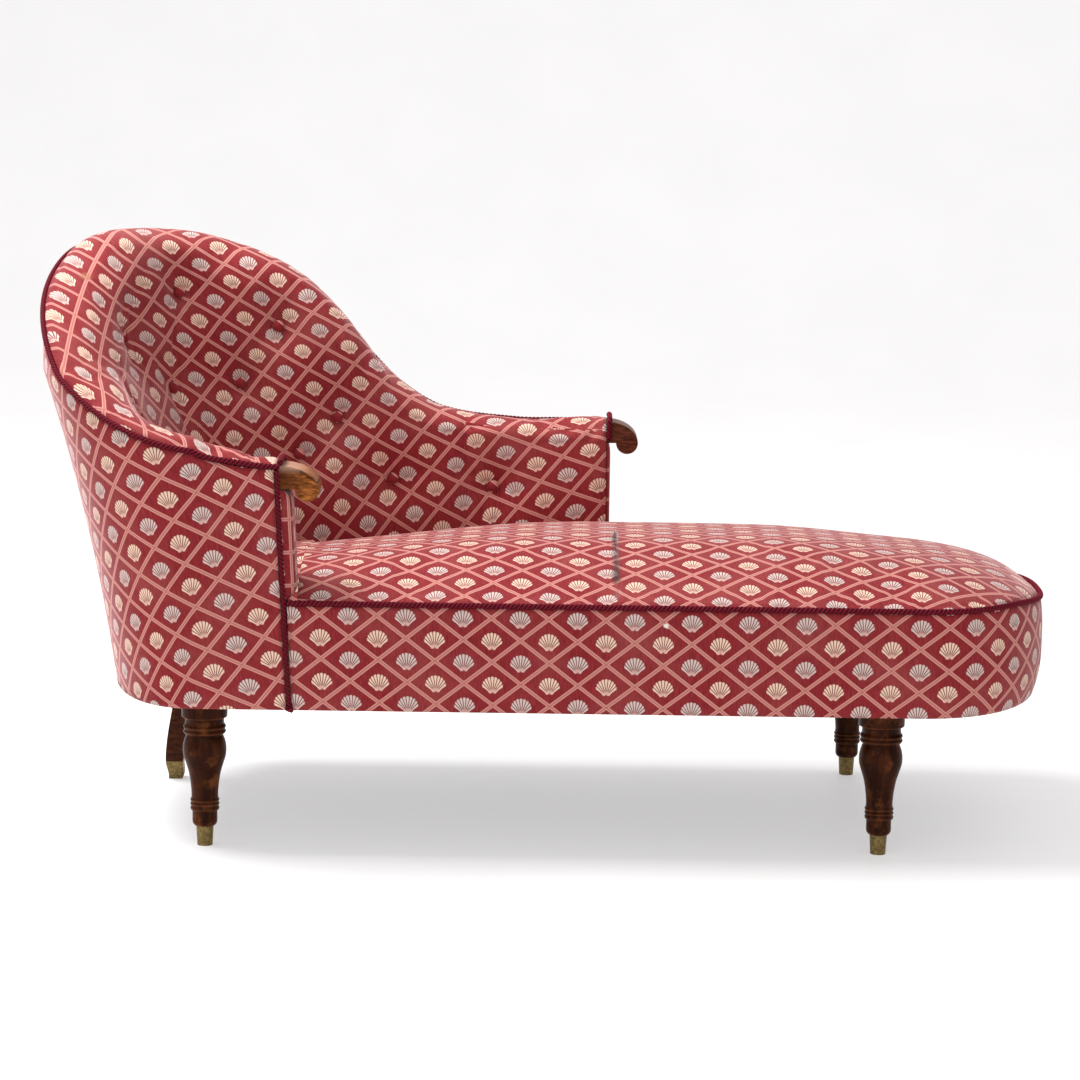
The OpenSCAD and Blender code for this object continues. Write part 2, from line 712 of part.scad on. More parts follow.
SPRING_X_SHARES = [0.06, 0.18, 0.36, 0.45, 0.54, 0.71, 0.83, 0.95, 1.07];
SPRING_Y_SHARES = [-0.55, 0, 0.55];
module spring(x, y) {
    z0 = cross_web_z + web_t + soft_gap;
    h = canvas_z - soft_gap - z0;
    translate([x, y, z0])
    rotate_extrude($fn = 32)
    polygon([
        [spring_r - spring_wire, 0], [spring_r, 0], [spring_r, spring_wire], [spring_waist_r, h / 2],
        [spring_r, h - spring_wire], [spring_r, h], [spring_r - spring_wire, h],
        [spring_waist_r - spring_wire, h / 2]
    ]);
}
module seat_springs() {
    color("slategray")
    for (kx = SPRING_X_SHARES)
        for (ky = SPRING_Y_SHARES)
            spring(lerp(head_x, foot_x, kx), ky * rail_inner_y);
}
canvas_in = rail_in + post_t + 2 * wood_gap;
module flat_sheet(q) {
    polygon([for (p = concat(
        [for (s = FOOT_ROUND) foot_flat_pt(s, q, 0)],
        [for (s = flip(HEAD_ROUND)) head_flat_pt(s, q, 0)]
    )) [p[0], p[1]]]);
}
module spring_canvas() {
    color("tan")
    translate([0, 0, canvas_z])
    linear_extrude(canvas_t)
    flat_sheet(canvas_in);
}
module dust_cover() {
    hole_gap = wood_gap + cloth_t / 2;
    hole_r = bulb_r * LEG_SHARES[len(LEG_SHARES) - 1][0] + hole_gap;
    hole_w = sabre_w + 2 * hole_gap;
    color("black")
    translate([0, 0, dust_z])
    difference() {
        linear_extrude(dust_t)
        flat_sheet(rope_seat + soft_gap);
        for (p = [[head_leg_x, -leg_y], [foot_leg_x, -leg_y], [foot_leg_x, leg_y]])
            translate([p[0], p[1], -dust_t])
            cylinder(r = hole_r, h = 3 * dust_t);
        translate([sabre_top_x - hole_w / 2, sabre_top_y - hole_w / 2, -dust_t])
        cube([hole_w, hole_w, 3 * dust_t]);
    }
}

// Crowned seat. A station is [near kind, near place, far kind, far place], where kind 0 meets the
// padded back, kind 1 is the straight open side, kind 2 the rounded foot and kind 3 the blunt
// end against the head.
seat_gap = 4 * soft_gap;
near_open_x = near_x(seat_z) + near_low_bulge + cloth_t + seat_gap;
far_open_x = far_arm_x + far_bulge + cloth_t + seat_gap;
function far_place(x) = 1 + (x - head_x) / (far_arm_x - head_x);
function near_place(x) = -(x - head_x) / (near_x(seat_z) - head_x);
function far_x(s) = lerp(head_x, far_arm_x, s - 1);
NEAR_PLACES = flip(before(0, STATIONS));
FAR_PLACES = after(1, STATIONS);
near_turn_x = near_open_x - rope_r;
far_turn_x = far_open_x - soft_gap;
BLUNT_SHARES = [0, 0.3, 0.65];
SEAT_STATIONS = concat(
    [for (t = BLUNT_SHARES) [3, t, 3, t]],
    [[0, 0, 0, 1]],
    [for (i = [0 : len(NEAR_PLACES) - 1]) [0, NEAR_PLACES[i], 0, FAR_PLACES[i]]],
    [[0, near_place(near_turn_x), 0, far_place(near_turn_x)], [1, near_open_x, 0, far_place(near_open_x)]],
    [for (s = FAR_PLACES) if (far_x(s) > near_open_x + rope_d) [1, far_x(s), 0, s]],
    [[1, far_turn_x, 0, far_place(far_turn_x)]],
    [for (x = steps(far_open_x, foot_x, 5)) [1, x, 1, x]],
    [for (k = [foot_steps / 2 - 1 : -1 : 1]) [2, k / foot_steps, 2, k / foot_steps]]
);
ACROSS_SHARES = [-1, -0.94, -0.82, -0.63, -0.35, 0, 0.35, 0.63, 0.82, 0.94, 1];
function wall_in(s, z) =
    let (
        mid_z = rope_z(s) + roll_rise(s) - roll_h(s),
        t = clamp((mid_z - z) / (mid_z - stuff_z), 0, 1)
    )
    roll_w(s) + back_swell * sin(180 * t) + recline(s) * t;
function seat_edge(side, kind, place, z) =
    kind == 0 ? head_pt(place, wall_in(place, z) + seat_gap, z)
    : kind == 3 ? seat_edge(side, 0, 0.5 + side / 2, z)
    : kind == 1 ? [place, side * (side_y(z) - rope_seat), z]
    : foot_pt(0.5 + side * place, rope_seat, z);
function crease_z(x) =
    lerp(crease_head_z, crease_arm_z, clamp((x - near_arm_x) / (far_arm_x - near_arm_x), 0, 1));
crown_from_z = crease_head_z + head_crown_h;
crown_rise_share = 0.85;
crown_fall_share = 0.8;
crown_rise_l = crown_rise_share * (far_arm_x - head_x);
crown_fall_x = foot_x - foot_r / 3;
crown_fall_l = crown_fall_share * foot_r;
function crown_z(x) =
    lerp(crown_from_z, seat_z + crown_h, smooth((x - head_x) / crown_rise_l))
    - foot_fall * smooth((x - crown_fall_x) / crown_fall_l);
function edge_z(side, st) =
    let (kind = side < 0 ? st[0] : st[2], place = side < 0 ? st[1] : st[3])
    kind == 0 || kind == 3 ? crease_z(seat_edge(side, kind, place, seat_z)[0]) : seat_z;
head_end_share = 0.94;
// A point across the seat, led along the wall where the station lies against the head
function seat_across(st, v, a, b) =
    let (p = lerp(a, b, (v + 1) / 2))
    st[0] == 3 ? lerp(seat_edge(0, 0, 0.5 + head_end_share * asin(v) / 180, a[2]), p, st[1]) : p;
function seat_pt(st, v) =
    let (
        zn = edge_z(near_side, st),
        zf = edge_z(far_side, st),
        a = seat_edge(near_side, st[0], st[1], zn),
        b = seat_edge(far_side, st[2], st[3], zf),
        p = seat_across(st, v, a, b),
        turn = st[0] == 2 ? pow(cos(180 * st[1]), 2) : st[0] == 3 ? pow(1 - st[1], 2) : 0,
        rho = pow(turn + (1 - turn) * pow(abs(v), foot_round_share), 1 / foot_round_share),
        power = lerp(crown_power_share, foot_power_share, turn),
        ze = v < 0 ? zn : zf,
        lean = 1 - crown_lean_share * v * (1 - turn)
    )
    [p[0], p[1], ze + (crown_z(p[0]) - ze) * (1 - pow(rho, power)) * lean];
function seat_low_pt(st, v) =
    let (
        a = seat_edge(near_side, st[0], st[1], stuff_z),
        b = seat_edge(far_side, st[2], st[3], stuff_z)
    )
    seat_across(st, v, a, b);
module seat_cover() {
    color("indianred")
    loft([for (st = SEAT_STATIONS) concat(
        [for (v = ACROSS_SHARES) seat_pt(st, v)],
        [for (v = flip(ACROSS_SHARES)) seat_pt(st, v) - [0, 0, cloth_t]]
    )]);
}
module seat_stuffing() {
    color("linen")
    loft([for (st = SEAT_STATIONS) concat(
        [for (v = ACROSS_SHARES) seat_pt(st, v) - [0, 0, cloth_t + soft_gap]],
        [for (v = flip(ACROSS_SHARES)) seat_low_pt(st, v)]
    )]);
}

// Border round the seat, with its padding and its rope
BORDER_STATIONS = concat([-1, -0.5], FOOT_ROUND, [1.5, 2]);
BORDER_SHARES = [0, 0.03, 0.09, 0.19, 0.34, 0.55, 0.78, 1];
module seat_border() {
    top_z = seat_z - rope_seat;
    color("firebrick")
    loft([for (s = BORDER_STATIONS) concat(
        [for (k = BORDER_SHARES) foot_pt(s, 0, lerp(under_z, top_z, k), rope_seat)],
        [for (k = flip(BORDER_SHARES)) foot_pt(s, cloth_t, lerp(under_z, top_z, k), rope_seat)]
    )]);
}
module border_padding() {
    q = cloth_t + 2 * soft_gap;
    z0 = dust_z + dust_t + soft_gap;
    color("linen")
    loft([for (s = BORDER_STATIONS) concat(
        [for (k = BORDER_SHARES) foot_pt(s, q, lerp(z0, rail_top_z, k), rope_seat)],
        [for (k = flip(BORDER_SHARES))
            foot_flat_pt(s, rail_in - soft_gap, lerp(z0, rail_top_z, k), rope_seat)]
    )]);
}
module seat_rope() {
    color("maroon")
    rope([for (s = BORDER_STATIONS) foot_pt(s, 0, seat_z, rope_seat)], rope_r);
}

// Padded back: webbing, stuffing, covers, rope and buttons
function grid(depth) = [for (s = STATIONS) [for (f = levels(s)) padded_pt(s, f, depth)]];
COVER_GRID = grid(0);
module inside_back_cover() {
    inner = grid(cloth_t);
    color("indianred")
    loft([for (i = [0 : len(STATIONS) - 1]) concat(COVER_GRID[i], flip(inner[i]))], turned = true);
}
function stuff_back(s, k) =
    let (
        top_z = rope_z(s) - top_rail_drop + stuff_clear,
        n = floor(len(ROLL_SHARES) / 2) - 1,
        t = max(0, (k - n) / (len(ROLL_SHARES) - 1 - n)),
        slack = stuff_slack * head_share(s)
    )
    k <= n ? head_pt(s, lerp(side_draw, stuff_in, k / n), top_z)
    : head_pt(s, stuff_in + slack * t, lerp(top_z, stuff_z, t));
module back_stuffing() {
    face = grid(cloth_t + soft_gap);
    n = len(ROLL_SHARES);
    color("linen")
    loft([for (i = [0 : len(STATIONS) - 1])
        concat(face[i], [for (k = [n - 1 : -1 : 0]) stuff_back(STATIONS[i], k)])], turned = true);
}
BACK_WEB_SHARES = [0.2, 0.5, 0.8];
web_back_in = stuff_in - stuff_clear - web_t;
module back_webbing() {
    half = web_w / 2;
    color("wheat")
    for (k = BACK_WEB_SHARES)
        loft([for (s = STATIONS)
            let (
                top_z = rope_z(s) - top_rail_drop,
                mid = lerp(stuff_z + web_w, top_z - top_rail_h - web_w, k),
                h = half * clamp((top_z - stuff_z) / (back_z - stuff_z), 0, 1),
                slack = stuff_slack * head_share(s)
            )
            [for (c = [[0, -1], [0, 1], [1, 1], [1, -1]])
                let (z = mid + c[1] * h, t = (top_z - z) / (top_z - stuff_z))
                head_pt(s, web_back_in + c[0] * web_t + slack * t, z)]], turned = true);
}
OUTSIDE_SHARES = [0, 0.04, 0.12, 0.3, 0.55, 0.8, 1];
module outside_back_cover() {
    color("firebrick")
    loft([for (s = STATIONS)
        let (top_z = rope_z(s) - rope_seat * norm([1, slope(s)]))
        concat(
            [for (k = OUTSIDE_SHARES) head_pt(s, 0, lerp(under_z, top_z, k), rope_seat)],
            [for (k = flip(OUTSIDE_SHARES)) head_pt(s, cloth_t, lerp(under_z, top_z, k), rope_seat)]
        )], turned = true);
}
module back_rope() {
    color("maroon")
    rope([for (s = STATIONS) head_pt(s, 0, rope_z(s), -rope_r)], rope_r);
}
module post_rope(side) {
    top_z = rope_z(side < 0 ? -1 : 2) - rope_seat - soft_gap;
    color("maroon")
    rope([for (z = steps(under_z, top_z, 8))
        [side < 0 ? near_x(z) : far_arm_x, side * side_y(z), z]], rope_r);
}
module near_post_rope() {
    post_rope(near_side);
}
module far_post_rope() {
    post_rope(far_side);
}

// Covered buttons, each lifted until its rim clears the folds of its tuft
function place_of(s, i = 0) = abs(STATIONS[i] - s) < 0.001 ? i : place_of(s, i + 1);
function room_dir(s, f) =
    let (g = into(s, f), p = head_out(s, section(s, f)[1]))
    -[g[0] * p[2], g[0] * p[3], g[1]];
function cover_at(i, k, u, v) =
    let (
        a = COVER_GRID[i][k],
        b = COVER_GRID[i][k + 1],
        c = COVER_GRID[i + 1][k + 1],
        d = COVER_GRID[i + 1][k]
    )
    u + v <= 1 ? a + u * (d - a) + v * (b - a) : c + (1 - u) * (b - c) + (1 - v) * (d - c);
rim_share = 1.2;
function button_lift(b) =
    let (
        i = place_of(b[0]),
        k = nearest(b[1]),
        dir = room_dir(b[0], b[1]),
        mid = COVER_GRID[i][k],
        rim = rim_share * button_d / 2,
        places = steps(0, 1, 8)
    )
    2 * soft_gap + max([for (di = [-2 : 1]) for (dk = [-2 : 1]) for (u = places) for (v = places)
        let (q = cover_at(i + di, k + dk, u, v) - mid, h = q * dir)
        if (norm(q - h * dir) <= rim) h]);
module button() {
    r = button_d / 2;
    rotate_extrude($fn = 32)
    polygon(concat([[0, 0]], [for (a = steps(0, 90, 6)) [r * cos(a), button_h * sin(a)]]));
}
module back_buttons() {
    color("indianred")
    for (b = BUTTON_SHARES) {
        dir = room_dir(b[0], b[1]);
        p = padded_pt(b[0], b[1], 0) + button_lift(b) * dir;
        translate(p)
        rotate([0, acos(dir[2]), atan2(dir[1], dir[0])])
        button();
    }
}

// Front panels of the arms
FACING_ACROSS_SHARES = steps(-1, 1, 6);
FACING_UP_SHARES = [-1, -0.93, -0.75, -0.4, 0, 0.4, 0.75, 0.93, 1];
module arm_facing(side) {
    low_z = seat_z + cloth_t;
    high_z = scroll_z(side) - scroll_neck_h - soft_gap;
    q0 = rope_seat + soft_gap;
    q1 = arm_roll_w - cloth_t;
    color("indianred")
    loft([for (w = FACING_UP_SHARES)
        let (
            z = lerp(low_z, high_z, (w + 1) / 2),
            x = (side < 0 ? near_x(z) : far_arm_x) + soft_gap,
            bulge = side < 0 ? lerp(near_low_bulge, near_bulge, (w + 1) / 2) : far_bulge,
            rise = bulge * (1 - pow(abs(w), facing_power_share))
        )
        concat(
            [for (v = FACING_ACROSS_SHARES) [
                x + cloth_t + rise * (1 - pow(abs(v), facing_power_share)),
                side * (half_w - lerp(q0, q1, (v + 1) / 2)),
                z
            ]],
            [for (v = flip(FACING_ACROSS_SHARES)) [x, side * (half_w - lerp(q0, q1, (v + 1) / 2)), z]]
        )], turned = side < 0);
}
module near_arm_facing() {
    arm_facing(near_side);
}
module far_arm_facing() {
    arm_facing(far_side);
}

// Wooden scrolls on the arm fronts
function scroll_z(side) = rope_z(side < 0 ? -1 : 2) + (side < 0 ? 0 : scroll_lift);
function scroll_x(side) = (side < 0 ? near_x(arm_z - scroll_neck_h) : far_arm_x) + soft_gap;
module scroll(side) {
    scroll_l = side < 0 ? near_scroll_l : far_scroll_l;
    color(side < 0 ? "peru" : "sienna")
    difference() {
        translate([scroll_x(side), side * (half_w - arm_roll_w / 2), scroll_z(side)])
        rotate([90, 0, 0])
        linear_extrude(scroll_t, center = true)
        polygon(concat(
            [[0, -scroll_neck_h]],
            [for (a = steps(90, 0, 12)) [scroll_l * cos(a), scroll_neck_h * (sin(a) - 1)]],
            [for (a = steps(-15, -180, 11))
                [scroll_l - scroll_r + scroll_r * cos(a), scroll_r * sin(a) - scroll_neck_h]]
        ));
        scroll_dowel(side, wood_gap);
    }
}
dowel_r = 5;
dowel_l = 52;
dowel_rise = 1.5;
module scroll_dowel(side, gap) {
    translate([
        scroll_x(side) - dowel_l / 2 - gap,
        side * (side_y(under_z) - post_mid_in),
        scroll_z(side) - scroll_neck_h + dowel_r + dowel_rise
    ])
    rotate([0, 90, 0])
    cylinder(r = dowel_r + gap, h = dowel_l + 2 * gap, $fn = 32);
}
module near_scroll() {
    scroll(near_side);
}
module far_scroll() {
    scroll(far_side);
}
module scroll_dowels() {
    color("tan") {
        scroll_dowel(near_side, 0);
        scroll_dowel(far_side, 0);
    }
}
// A rope over the root of each scroll and down its inner side
SCROLL_ROPE_SHARES = [
    [0, 0], [0.25, 0.07], [0.5, 0.1], [0.75, 0.07], [0.9, 0.03], [0.99, -0.02], [1.03, -0.15], [1.03, -0.6],
    [1.02, -0.95]
];
module scroll_rope(side) {
    mid_y = half_w - arm_roll_w / 2;
    reach_y = scroll_t / 2 + rope_seat;
    top_z = scroll_z(side) + rope_seat;
    color("maroon")
    rope([for (k = SCROLL_ROPE_SHARES)
        let (z = top_z + k[1] * scroll_neck_h)
        [
            (side < 0 ? near_x(z) : far_arm_x) + rope_seat + soft_gap,
            side * (mid_y + reach_y * (1 - 2 * k[0])),
            z
        ]], rope_r);
}
module scroll_ropes() {
    scroll_rope(near_side);
    scroll_rope(far_side);
}

front_rail();
back_rail();
head_bow_rail();
foot_bow_rail();
cross_rails();
leg_blocks();
block_screws();
near_arm_post();
far_arm_post();
back_uprights();
top_rail();
leg_head_near();
leg_foot_near();
leg_foot_far();
leg_head_far_sabre();
ferrule_head_near();
ferrule_foot_near();
ferrule_foot_far();
ferrule_sabre();
ferrule_pins();
seat_webbing();
seat_springs();
spring_canvas();
seat_stuffing();
seat_cover();
border_padding();
seat_border();
seat_rope();
dust_cover();
back_webbing();
back_stuffing();
inside_back_cover();
outside_back_cover();
back_rope();
back_buttons();
near_arm_facing();
far_arm_facing();
near_post_rope();
far_post_rope();
near_scroll();
far_scroll();
scroll_dowels();
scroll_ropes();
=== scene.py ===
import json
import math

import bmesh
import bpy
import numpy as np
from mathutils import Matrix, Vector


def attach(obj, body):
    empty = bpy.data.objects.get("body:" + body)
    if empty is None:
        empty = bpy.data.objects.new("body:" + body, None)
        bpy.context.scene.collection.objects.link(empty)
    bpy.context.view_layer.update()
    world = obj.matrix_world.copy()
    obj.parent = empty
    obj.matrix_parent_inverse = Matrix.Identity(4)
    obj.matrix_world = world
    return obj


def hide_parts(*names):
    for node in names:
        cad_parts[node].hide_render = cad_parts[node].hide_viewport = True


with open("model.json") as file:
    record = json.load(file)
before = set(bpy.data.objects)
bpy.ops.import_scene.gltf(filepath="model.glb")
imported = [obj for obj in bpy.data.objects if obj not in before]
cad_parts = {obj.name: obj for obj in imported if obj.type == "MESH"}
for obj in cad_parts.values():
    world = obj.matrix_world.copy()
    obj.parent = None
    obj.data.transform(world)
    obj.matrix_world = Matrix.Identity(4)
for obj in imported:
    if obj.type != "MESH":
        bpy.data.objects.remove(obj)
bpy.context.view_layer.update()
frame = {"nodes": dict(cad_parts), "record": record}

MM = 0.001
TAU = 2 * math.pi

# Camera, at the photograph's viewing angle
CAMERA_PLACE = (-0.005, -4.671, 1.1637)
CAMERA_PITCH = math.radians(90 - 9.196)
CAMERA_ROLL = math.radians(0.788)
CAMERA_LENS = 106.17

camera_data = bpy.data.cameras.new("camera")
camera_data.lens = CAMERA_LENS
camera = bpy.data.objects.new("camera", camera_data)
bpy.context.scene.collection.objects.link(camera)
camera.matrix_world = (Matrix.Translation(CAMERA_PLACE) @ Matrix.Rotation(CAMERA_PITCH, 4, "X")
                       @ Matrix.Rotation(CAMERA_ROLL, 4, "Z"))
bpy.context.scene.camera = camera
bpy.context.scene.view_settings.view_transform = "Standard"

# Sizes of the couch, in millimetres
HALF_LENGTH = 738.5
HALF_WIDTH = 311
UNDER_Z = 210
SEAT_Z = 364
ARM_Z = 558
BACK_Z = 826
HEAD_R = 139
HEAD_LEAN = 106
STRAIGHT_LEAN = 0.6
LEAN_Z = 660
FOOT_R = 208.5
SIDE_DRAW = 8
FOOT_DRAW = 10.5
FOOT_TOP_DRAW = 8
DRAW_H = 60
FOOT_TOP_Z = UNDER_Z + 1.5 * DRAW_H
NEAR_ARM_X = -353
NEAR_RAKE = 18
FAR_ARM_X = 96
ARM_ROLL = {"width": 75, "height": 36, "rise": 9.5, "recline": 6}
HEAD_ROLL = {"width": 124, "height": 62, "rise": 21, "recline": 22}
RISE_POWER = 0.4
BACK_SWELL = 12
NEAR_BULGE = 15
NEAR_LOW_BULGE = 15
FAR_BULGE = 4
CROWN_H = 62
HEAD_CROWN_H = 50
FOOT_FALL = 23
CREASE_HEAD_Z = 345
CREASE_ARM_Z = 390
CLOTH_T = 2.5
ROPE_R = 4.25
SOFT_GAP = 0.3
ROPE_SEAT = ROPE_R + SOFT_GAP
STUFF_Z = 316.8
HEAD_X = -HALF_LENGTH + ROPE_R + HEAD_R + HEAD_LEAN
FOOT_X = HALF_LENGTH - FOOT_R
HEAD_ROUND = 2.1
FOOT_ROUND = 2.15

# Height of the rope along the back, as in the frame's own solids: place and share of the rise
BACK_TOP = (
    (-1, -0.01), (-0.5, 0.012), (0, 0.067), (0.16, 0.187), (0.29, 0.377), (0.36, 0.522), (0.44, 0.687),
    (0.54, 0.86), (0.65, 0.985), (0.78, 1), (0.92, 0.972), (1, 0.922), (1.1, 0.845), (1.2, 0.72),
    (1.3, 0.515), (1.37, 0.335), (1.45, 0.165), (1.56, 0.03), (1.75, -0.028), (1.88, -0.03), (2, -0.03),
)
# Buttons: place along the back, and place over the roll (0 to 1) and down the wall (1 to 2)
BUTTONS = (
    (-0.19, 1.32), (0.22, 1.06), (0.33, 1.36), (0.522, 1.1), (0.741, 1.367), (0.827, 1.06),
    (1.037, 1.324), (1.134, 1.082), (1.191, 1.527), (1.289, 1.302), (1.435, 1.435), (1.7, 1.34),
)
TUFT_DEPTH = 10
TUFT_R = 48
DIMPLE_DEPTH = 8
DIMPLE_R = 14
BUTTON_R = 9
BUTTON_H = 7


def clamp(v, lo, hi):
    return np.minimum(np.maximum(v, lo), hi)


def lerp(a, b, t):
    return a + (b - a) * t


def smooth(t):
    c = clamp(t, 0, 1)
    return c * c * (3 - 2 * c)


def signed_power(v, e):
    return np.sign(v) * np.abs(v) ** e


def along(table, s):
    """A smooth curve through a table of places and values."""
    x = np.array([row[0] for row in table], float)
    y = np.array([row[1] for row in table], float)
    m = np.zeros(len(x))
    m[1:-1] = (y[2:] - y[:-2]) / (x[2:] - x[:-2])
    s = np.clip(s, x[0], x[-1])
    i = np.clip(np.searchsorted(x, s, side="right") - 1, 0, len(x) - 2)
    h = x[i + 1] - x[i]
    t = (s - x[i]) / h
    t2, t3 = t * t, t * t * t
    return ((2 * t3 - 3 * t2 + 1) * y[i] + (t3 - 2 * t2 + t) * h * m[i] + (3 * t2 - 2 * t3) * y[i + 1]
            + (t3 - t2) * h * m[i + 1])


# Outline of the couch at each height
def drawn_in(z):
    return (1 - clamp((z - UNDER_Z) / DRAW_H, 0, 1)) ** 2


def side_y(z):
    return HALF_WIDTH - SIDE_DRAW * drawn_in(z)


def head_reach(z):
    k = clamp((z - UNDER_Z) / (LEAN_Z - UNDER_Z), 0, 1)
    return HEAD_R + HEAD_LEAN * (STRAIGHT_LEAN * k + (1 - STRAIGHT_LEAN) * k * k)


def foot_reach(z):
    k = clamp((z - FOOT_TOP_Z) / (SEAT_Z - FOOT_TOP_Z), 0, 1)
    return FOOT_R - FOOT_DRAW * drawn_in(z) - FOOT_TOP_DRAW * k * k


def near_x(z):
    return NEAR_ARM_X - NEAR_RAKE * clamp((z - UNDER_Z) / (ARM_Z - UNDER_Z), 0, 1)


def outline(s, cx, a, b, n, x0, x1, way):
    """Place s of an outline with straight sides and one rounded end: x, y and the way inward."""
    s = np.asarray(s, float)
    turn = np.radians(180 * np.clip(s, 0, 1) - 90)
    c = way * np.clip(np.cos(turn), 1e-9, 1) ** (2 / n)
    d = signed_power(np.sin(turn), 2 / n)
    low, high = s <= 0, s >= 1
    x = np.where(low, cx + (x0 - cx) * -s, np.where(high, cx + (x1 - cx) * (s - 1), cx + a * c))
    y = np.where(low, -b, np.where(high, b, b * d))
    ix = np.where(low | high, 0, -c)
    iy = np.where(low, 1, np.where(high, -1, -d))
    return x, y, ix, iy


def around(near, end, far):
    """Places along the near side, round the end and along the far side, with so many points on each."""
    turns = np.linspace(-1, 0, near)[:-1], np.linspace(0, 1, end)[:-1], np.linspace(1, 2, far)
    return np.concatenate(turns)


def head_pt(s, q, z, back=0.0):
    x, y, ix, iy = outline(s, HEAD_X, head_reach(z), side_y(z), HEAD_ROUND,
                           near_x(z) - back, FAR_ARM_X - back, -1)
    return np.stack([x + q * ix, y + q * iy, z + 0 * x], -1)


def foot_pt(s, q, z, fwd=0.0):
    x, y, ix, iy = outline(s, FOOT_X, foot_reach(z), side_y(z), FOOT_ROUND,
                           near_x(z) + fwd, FAR_ARM_X + fwd, 1)
    return np.stack([x + q * ix, y + q * iy, z + 0 * x], -1)


# Section of the padded back
def rope_z(s):
    return lerp(ARM_Z, BACK_Z, along(BACK_TOP, s))


def head_share(s):
    return clamp(along(BACK_TOP, s), 0, 1)


def roll(name, share):
    return lerp(ARM_ROLL[name], HEAD_ROLL[name], share)


def roll_mid_z(s):
    k = head_share(s)
    return rope_z(s) + roll("rise", k ** RISE_POWER) - roll("height", k)


def section(s, f):
    """How far the padding stands in from the outline, and how high, at place f of its section."""
    k = head_share(s)
    w, h, rise = roll("width", np.sqrt(k)), roll("height", k), roll("rise", k ** RISE_POWER)
    first = np.arcsin((h - rise) / h)
    mid = roll_mid_z(s)
    turn = first + (np.pi - first) * np.minimum(f, 1)
    t = np.maximum(f - 1, 0)
    q_roll = w * (np.cos(first) - np.cos(turn)) / (np.cos(first) + 1)
    q_wall = w + BACK_SWELL * np.sin(np.pi * t) + roll("recline", k) * t
    return np.where(f <= 1, q_roll, q_wall), np.where(f <= 1, mid + h * np.sin(turn), lerp(mid, STUFF_Z, t))


def into(s, f):
    """Direction from the padding's surface into the padding, in the same section."""
    d = 0.01
    qa, za = section(s, np.maximum(f - d, 0))
    qb, zb = section(s, np.minimum(f + d, 2))
    g = np.hypot(qb - qa, zb - za)
    return (zb - za) / g, -(qb - qa) / g


def section_pt(s, f, depth=0.0):
    q, z = section(s, f)
    a, b = into(s, f)
    return head_pt(s, q + depth * a, z + depth * b)


BUTTON_PLACES = [section_pt(*b) for b in BUTTONS]
# Folds round a button: how many, their height, the ring that they lie on and its reach, and the
# turn from one button's folds to the next's
FOLDS = 7
FOLD_H = 0.9
FOLD_R = 24
FOLD_REACH = 15
FOLD_TURN = 2.4
# A button this far from the middle faces straight across the couch
SIDEWAYS_Y = 250


def tuft_depth(p):
    """Depth of the button tufts at points p, with a few soft folds running out of each."""
    depth = np.zeros(p.shape[:-1])
    for i, b in enumerate(BUTTON_PLACES):
        d = p - b
        r = np.linalg.norm(d, axis=-1)
        turn = np.arctan2(d[..., 2], d[..., 0] * abs(b[1]) / SIDEWAYS_Y + d[..., 1])
        depth += TUFT_DEPTH * np.exp(-(r / TUFT_R) ** 2) + DIMPLE_DEPTH * np.exp(-(r / DIMPLE_R) ** 2)
        depth += FOLD_H * np.exp(-((r - FOLD_R) / FOLD_REACH) ** 2) * np.cos(FOLDS * turn + FOLD_TURN * i)
    return depth


def padded_pt(s, f, depth=0.0):
    return section_pt(s, f, depth + tuft_depth(section_pt(s, f)))


# Crown of the seat
def wall_in(s, z):
    mid = roll_mid_z(s)
    k = head_share(s)
    t = clamp((mid - z) / (mid - STUFF_Z), 0, 1)
    return roll("width", np.sqrt(k)) + BACK_SWELL * np.sin(np.pi * t) + roll("recline", k) * t


SEAT_GAP = 4 * SOFT_GAP
NEAR_OPEN_X = float(near_x(SEAT_Z)) + NEAR_LOW_BULGE + CLOTH_T + SEAT_GAP
FAR_OPEN_X = FAR_ARM_X + FAR_BULGE + CLOTH_T + SEAT_GAP
CROWN_FROM_Z = CREASE_HEAD_Z + HEAD_CROWN_H
CROWN_RISE = 0.85 * (FAR_ARM_X - HEAD_X)
CROWN_FALL_X = FOOT_X - FOOT_R
CROWN_FALL = 1.6 * FOOT_R
CROWN_POWER = 3
FOOT_POWER = 3.2
CROWN_LEAN = 0.25
WHOLE_RISE = 320
# Share of the head's round wall that the seat's first row reaches
HEAD_SPREAD = 0.94
# How far the seat's rope dips round the foot, and further along its far side, with the place where
# each dip starts and its length, and the same for the way back up
FOOT_DIP = 17
FOOT_DIP_RUN = (0.2, 0.3)
FAR_DIP = 9
FAR_DIP_RUN = (0.5, 0.25)
DIP_END_RUN = (1, 0.7)


def crease_z(x):
    return lerp(CREASE_HEAD_Z, CREASE_ARM_Z, clamp((x - NEAR_ARM_X) / (FAR_ARM_X - NEAR_ARM_X), 0, 1))


def crown_z(x):
    return (lerp(CROWN_FROM_Z, SEAT_Z + CROWN_H, smooth((x - HEAD_X) / CROWN_RISE))
            - FOOT_FALL * smooth((x - CROWN_FALL_X) / CROWN_FALL))


def edge_z(s):
    """Height of the seat's rope, which dips round the foot."""
    foot, far, end = (smooth((s - start) / run) for start, run in (FOOT_DIP_RUN, FAR_DIP_RUN, DIP_END_RUN))
    return SEAT_Z - (FOOT_DIP * foot + FAR_DIP * far) * (1 - end)


def near_place(x):
    return -(x - HEAD_X) / (near_x(SEAT_Z) - HEAD_X)


def far_place(x):
    return 1 + (x - HEAD_X) / (FAR_ARM_X - HEAD_X)


def far_rope_place(x):
    return 1 + (x - FOOT_X) / (FAR_ARM_X - FOOT_X)


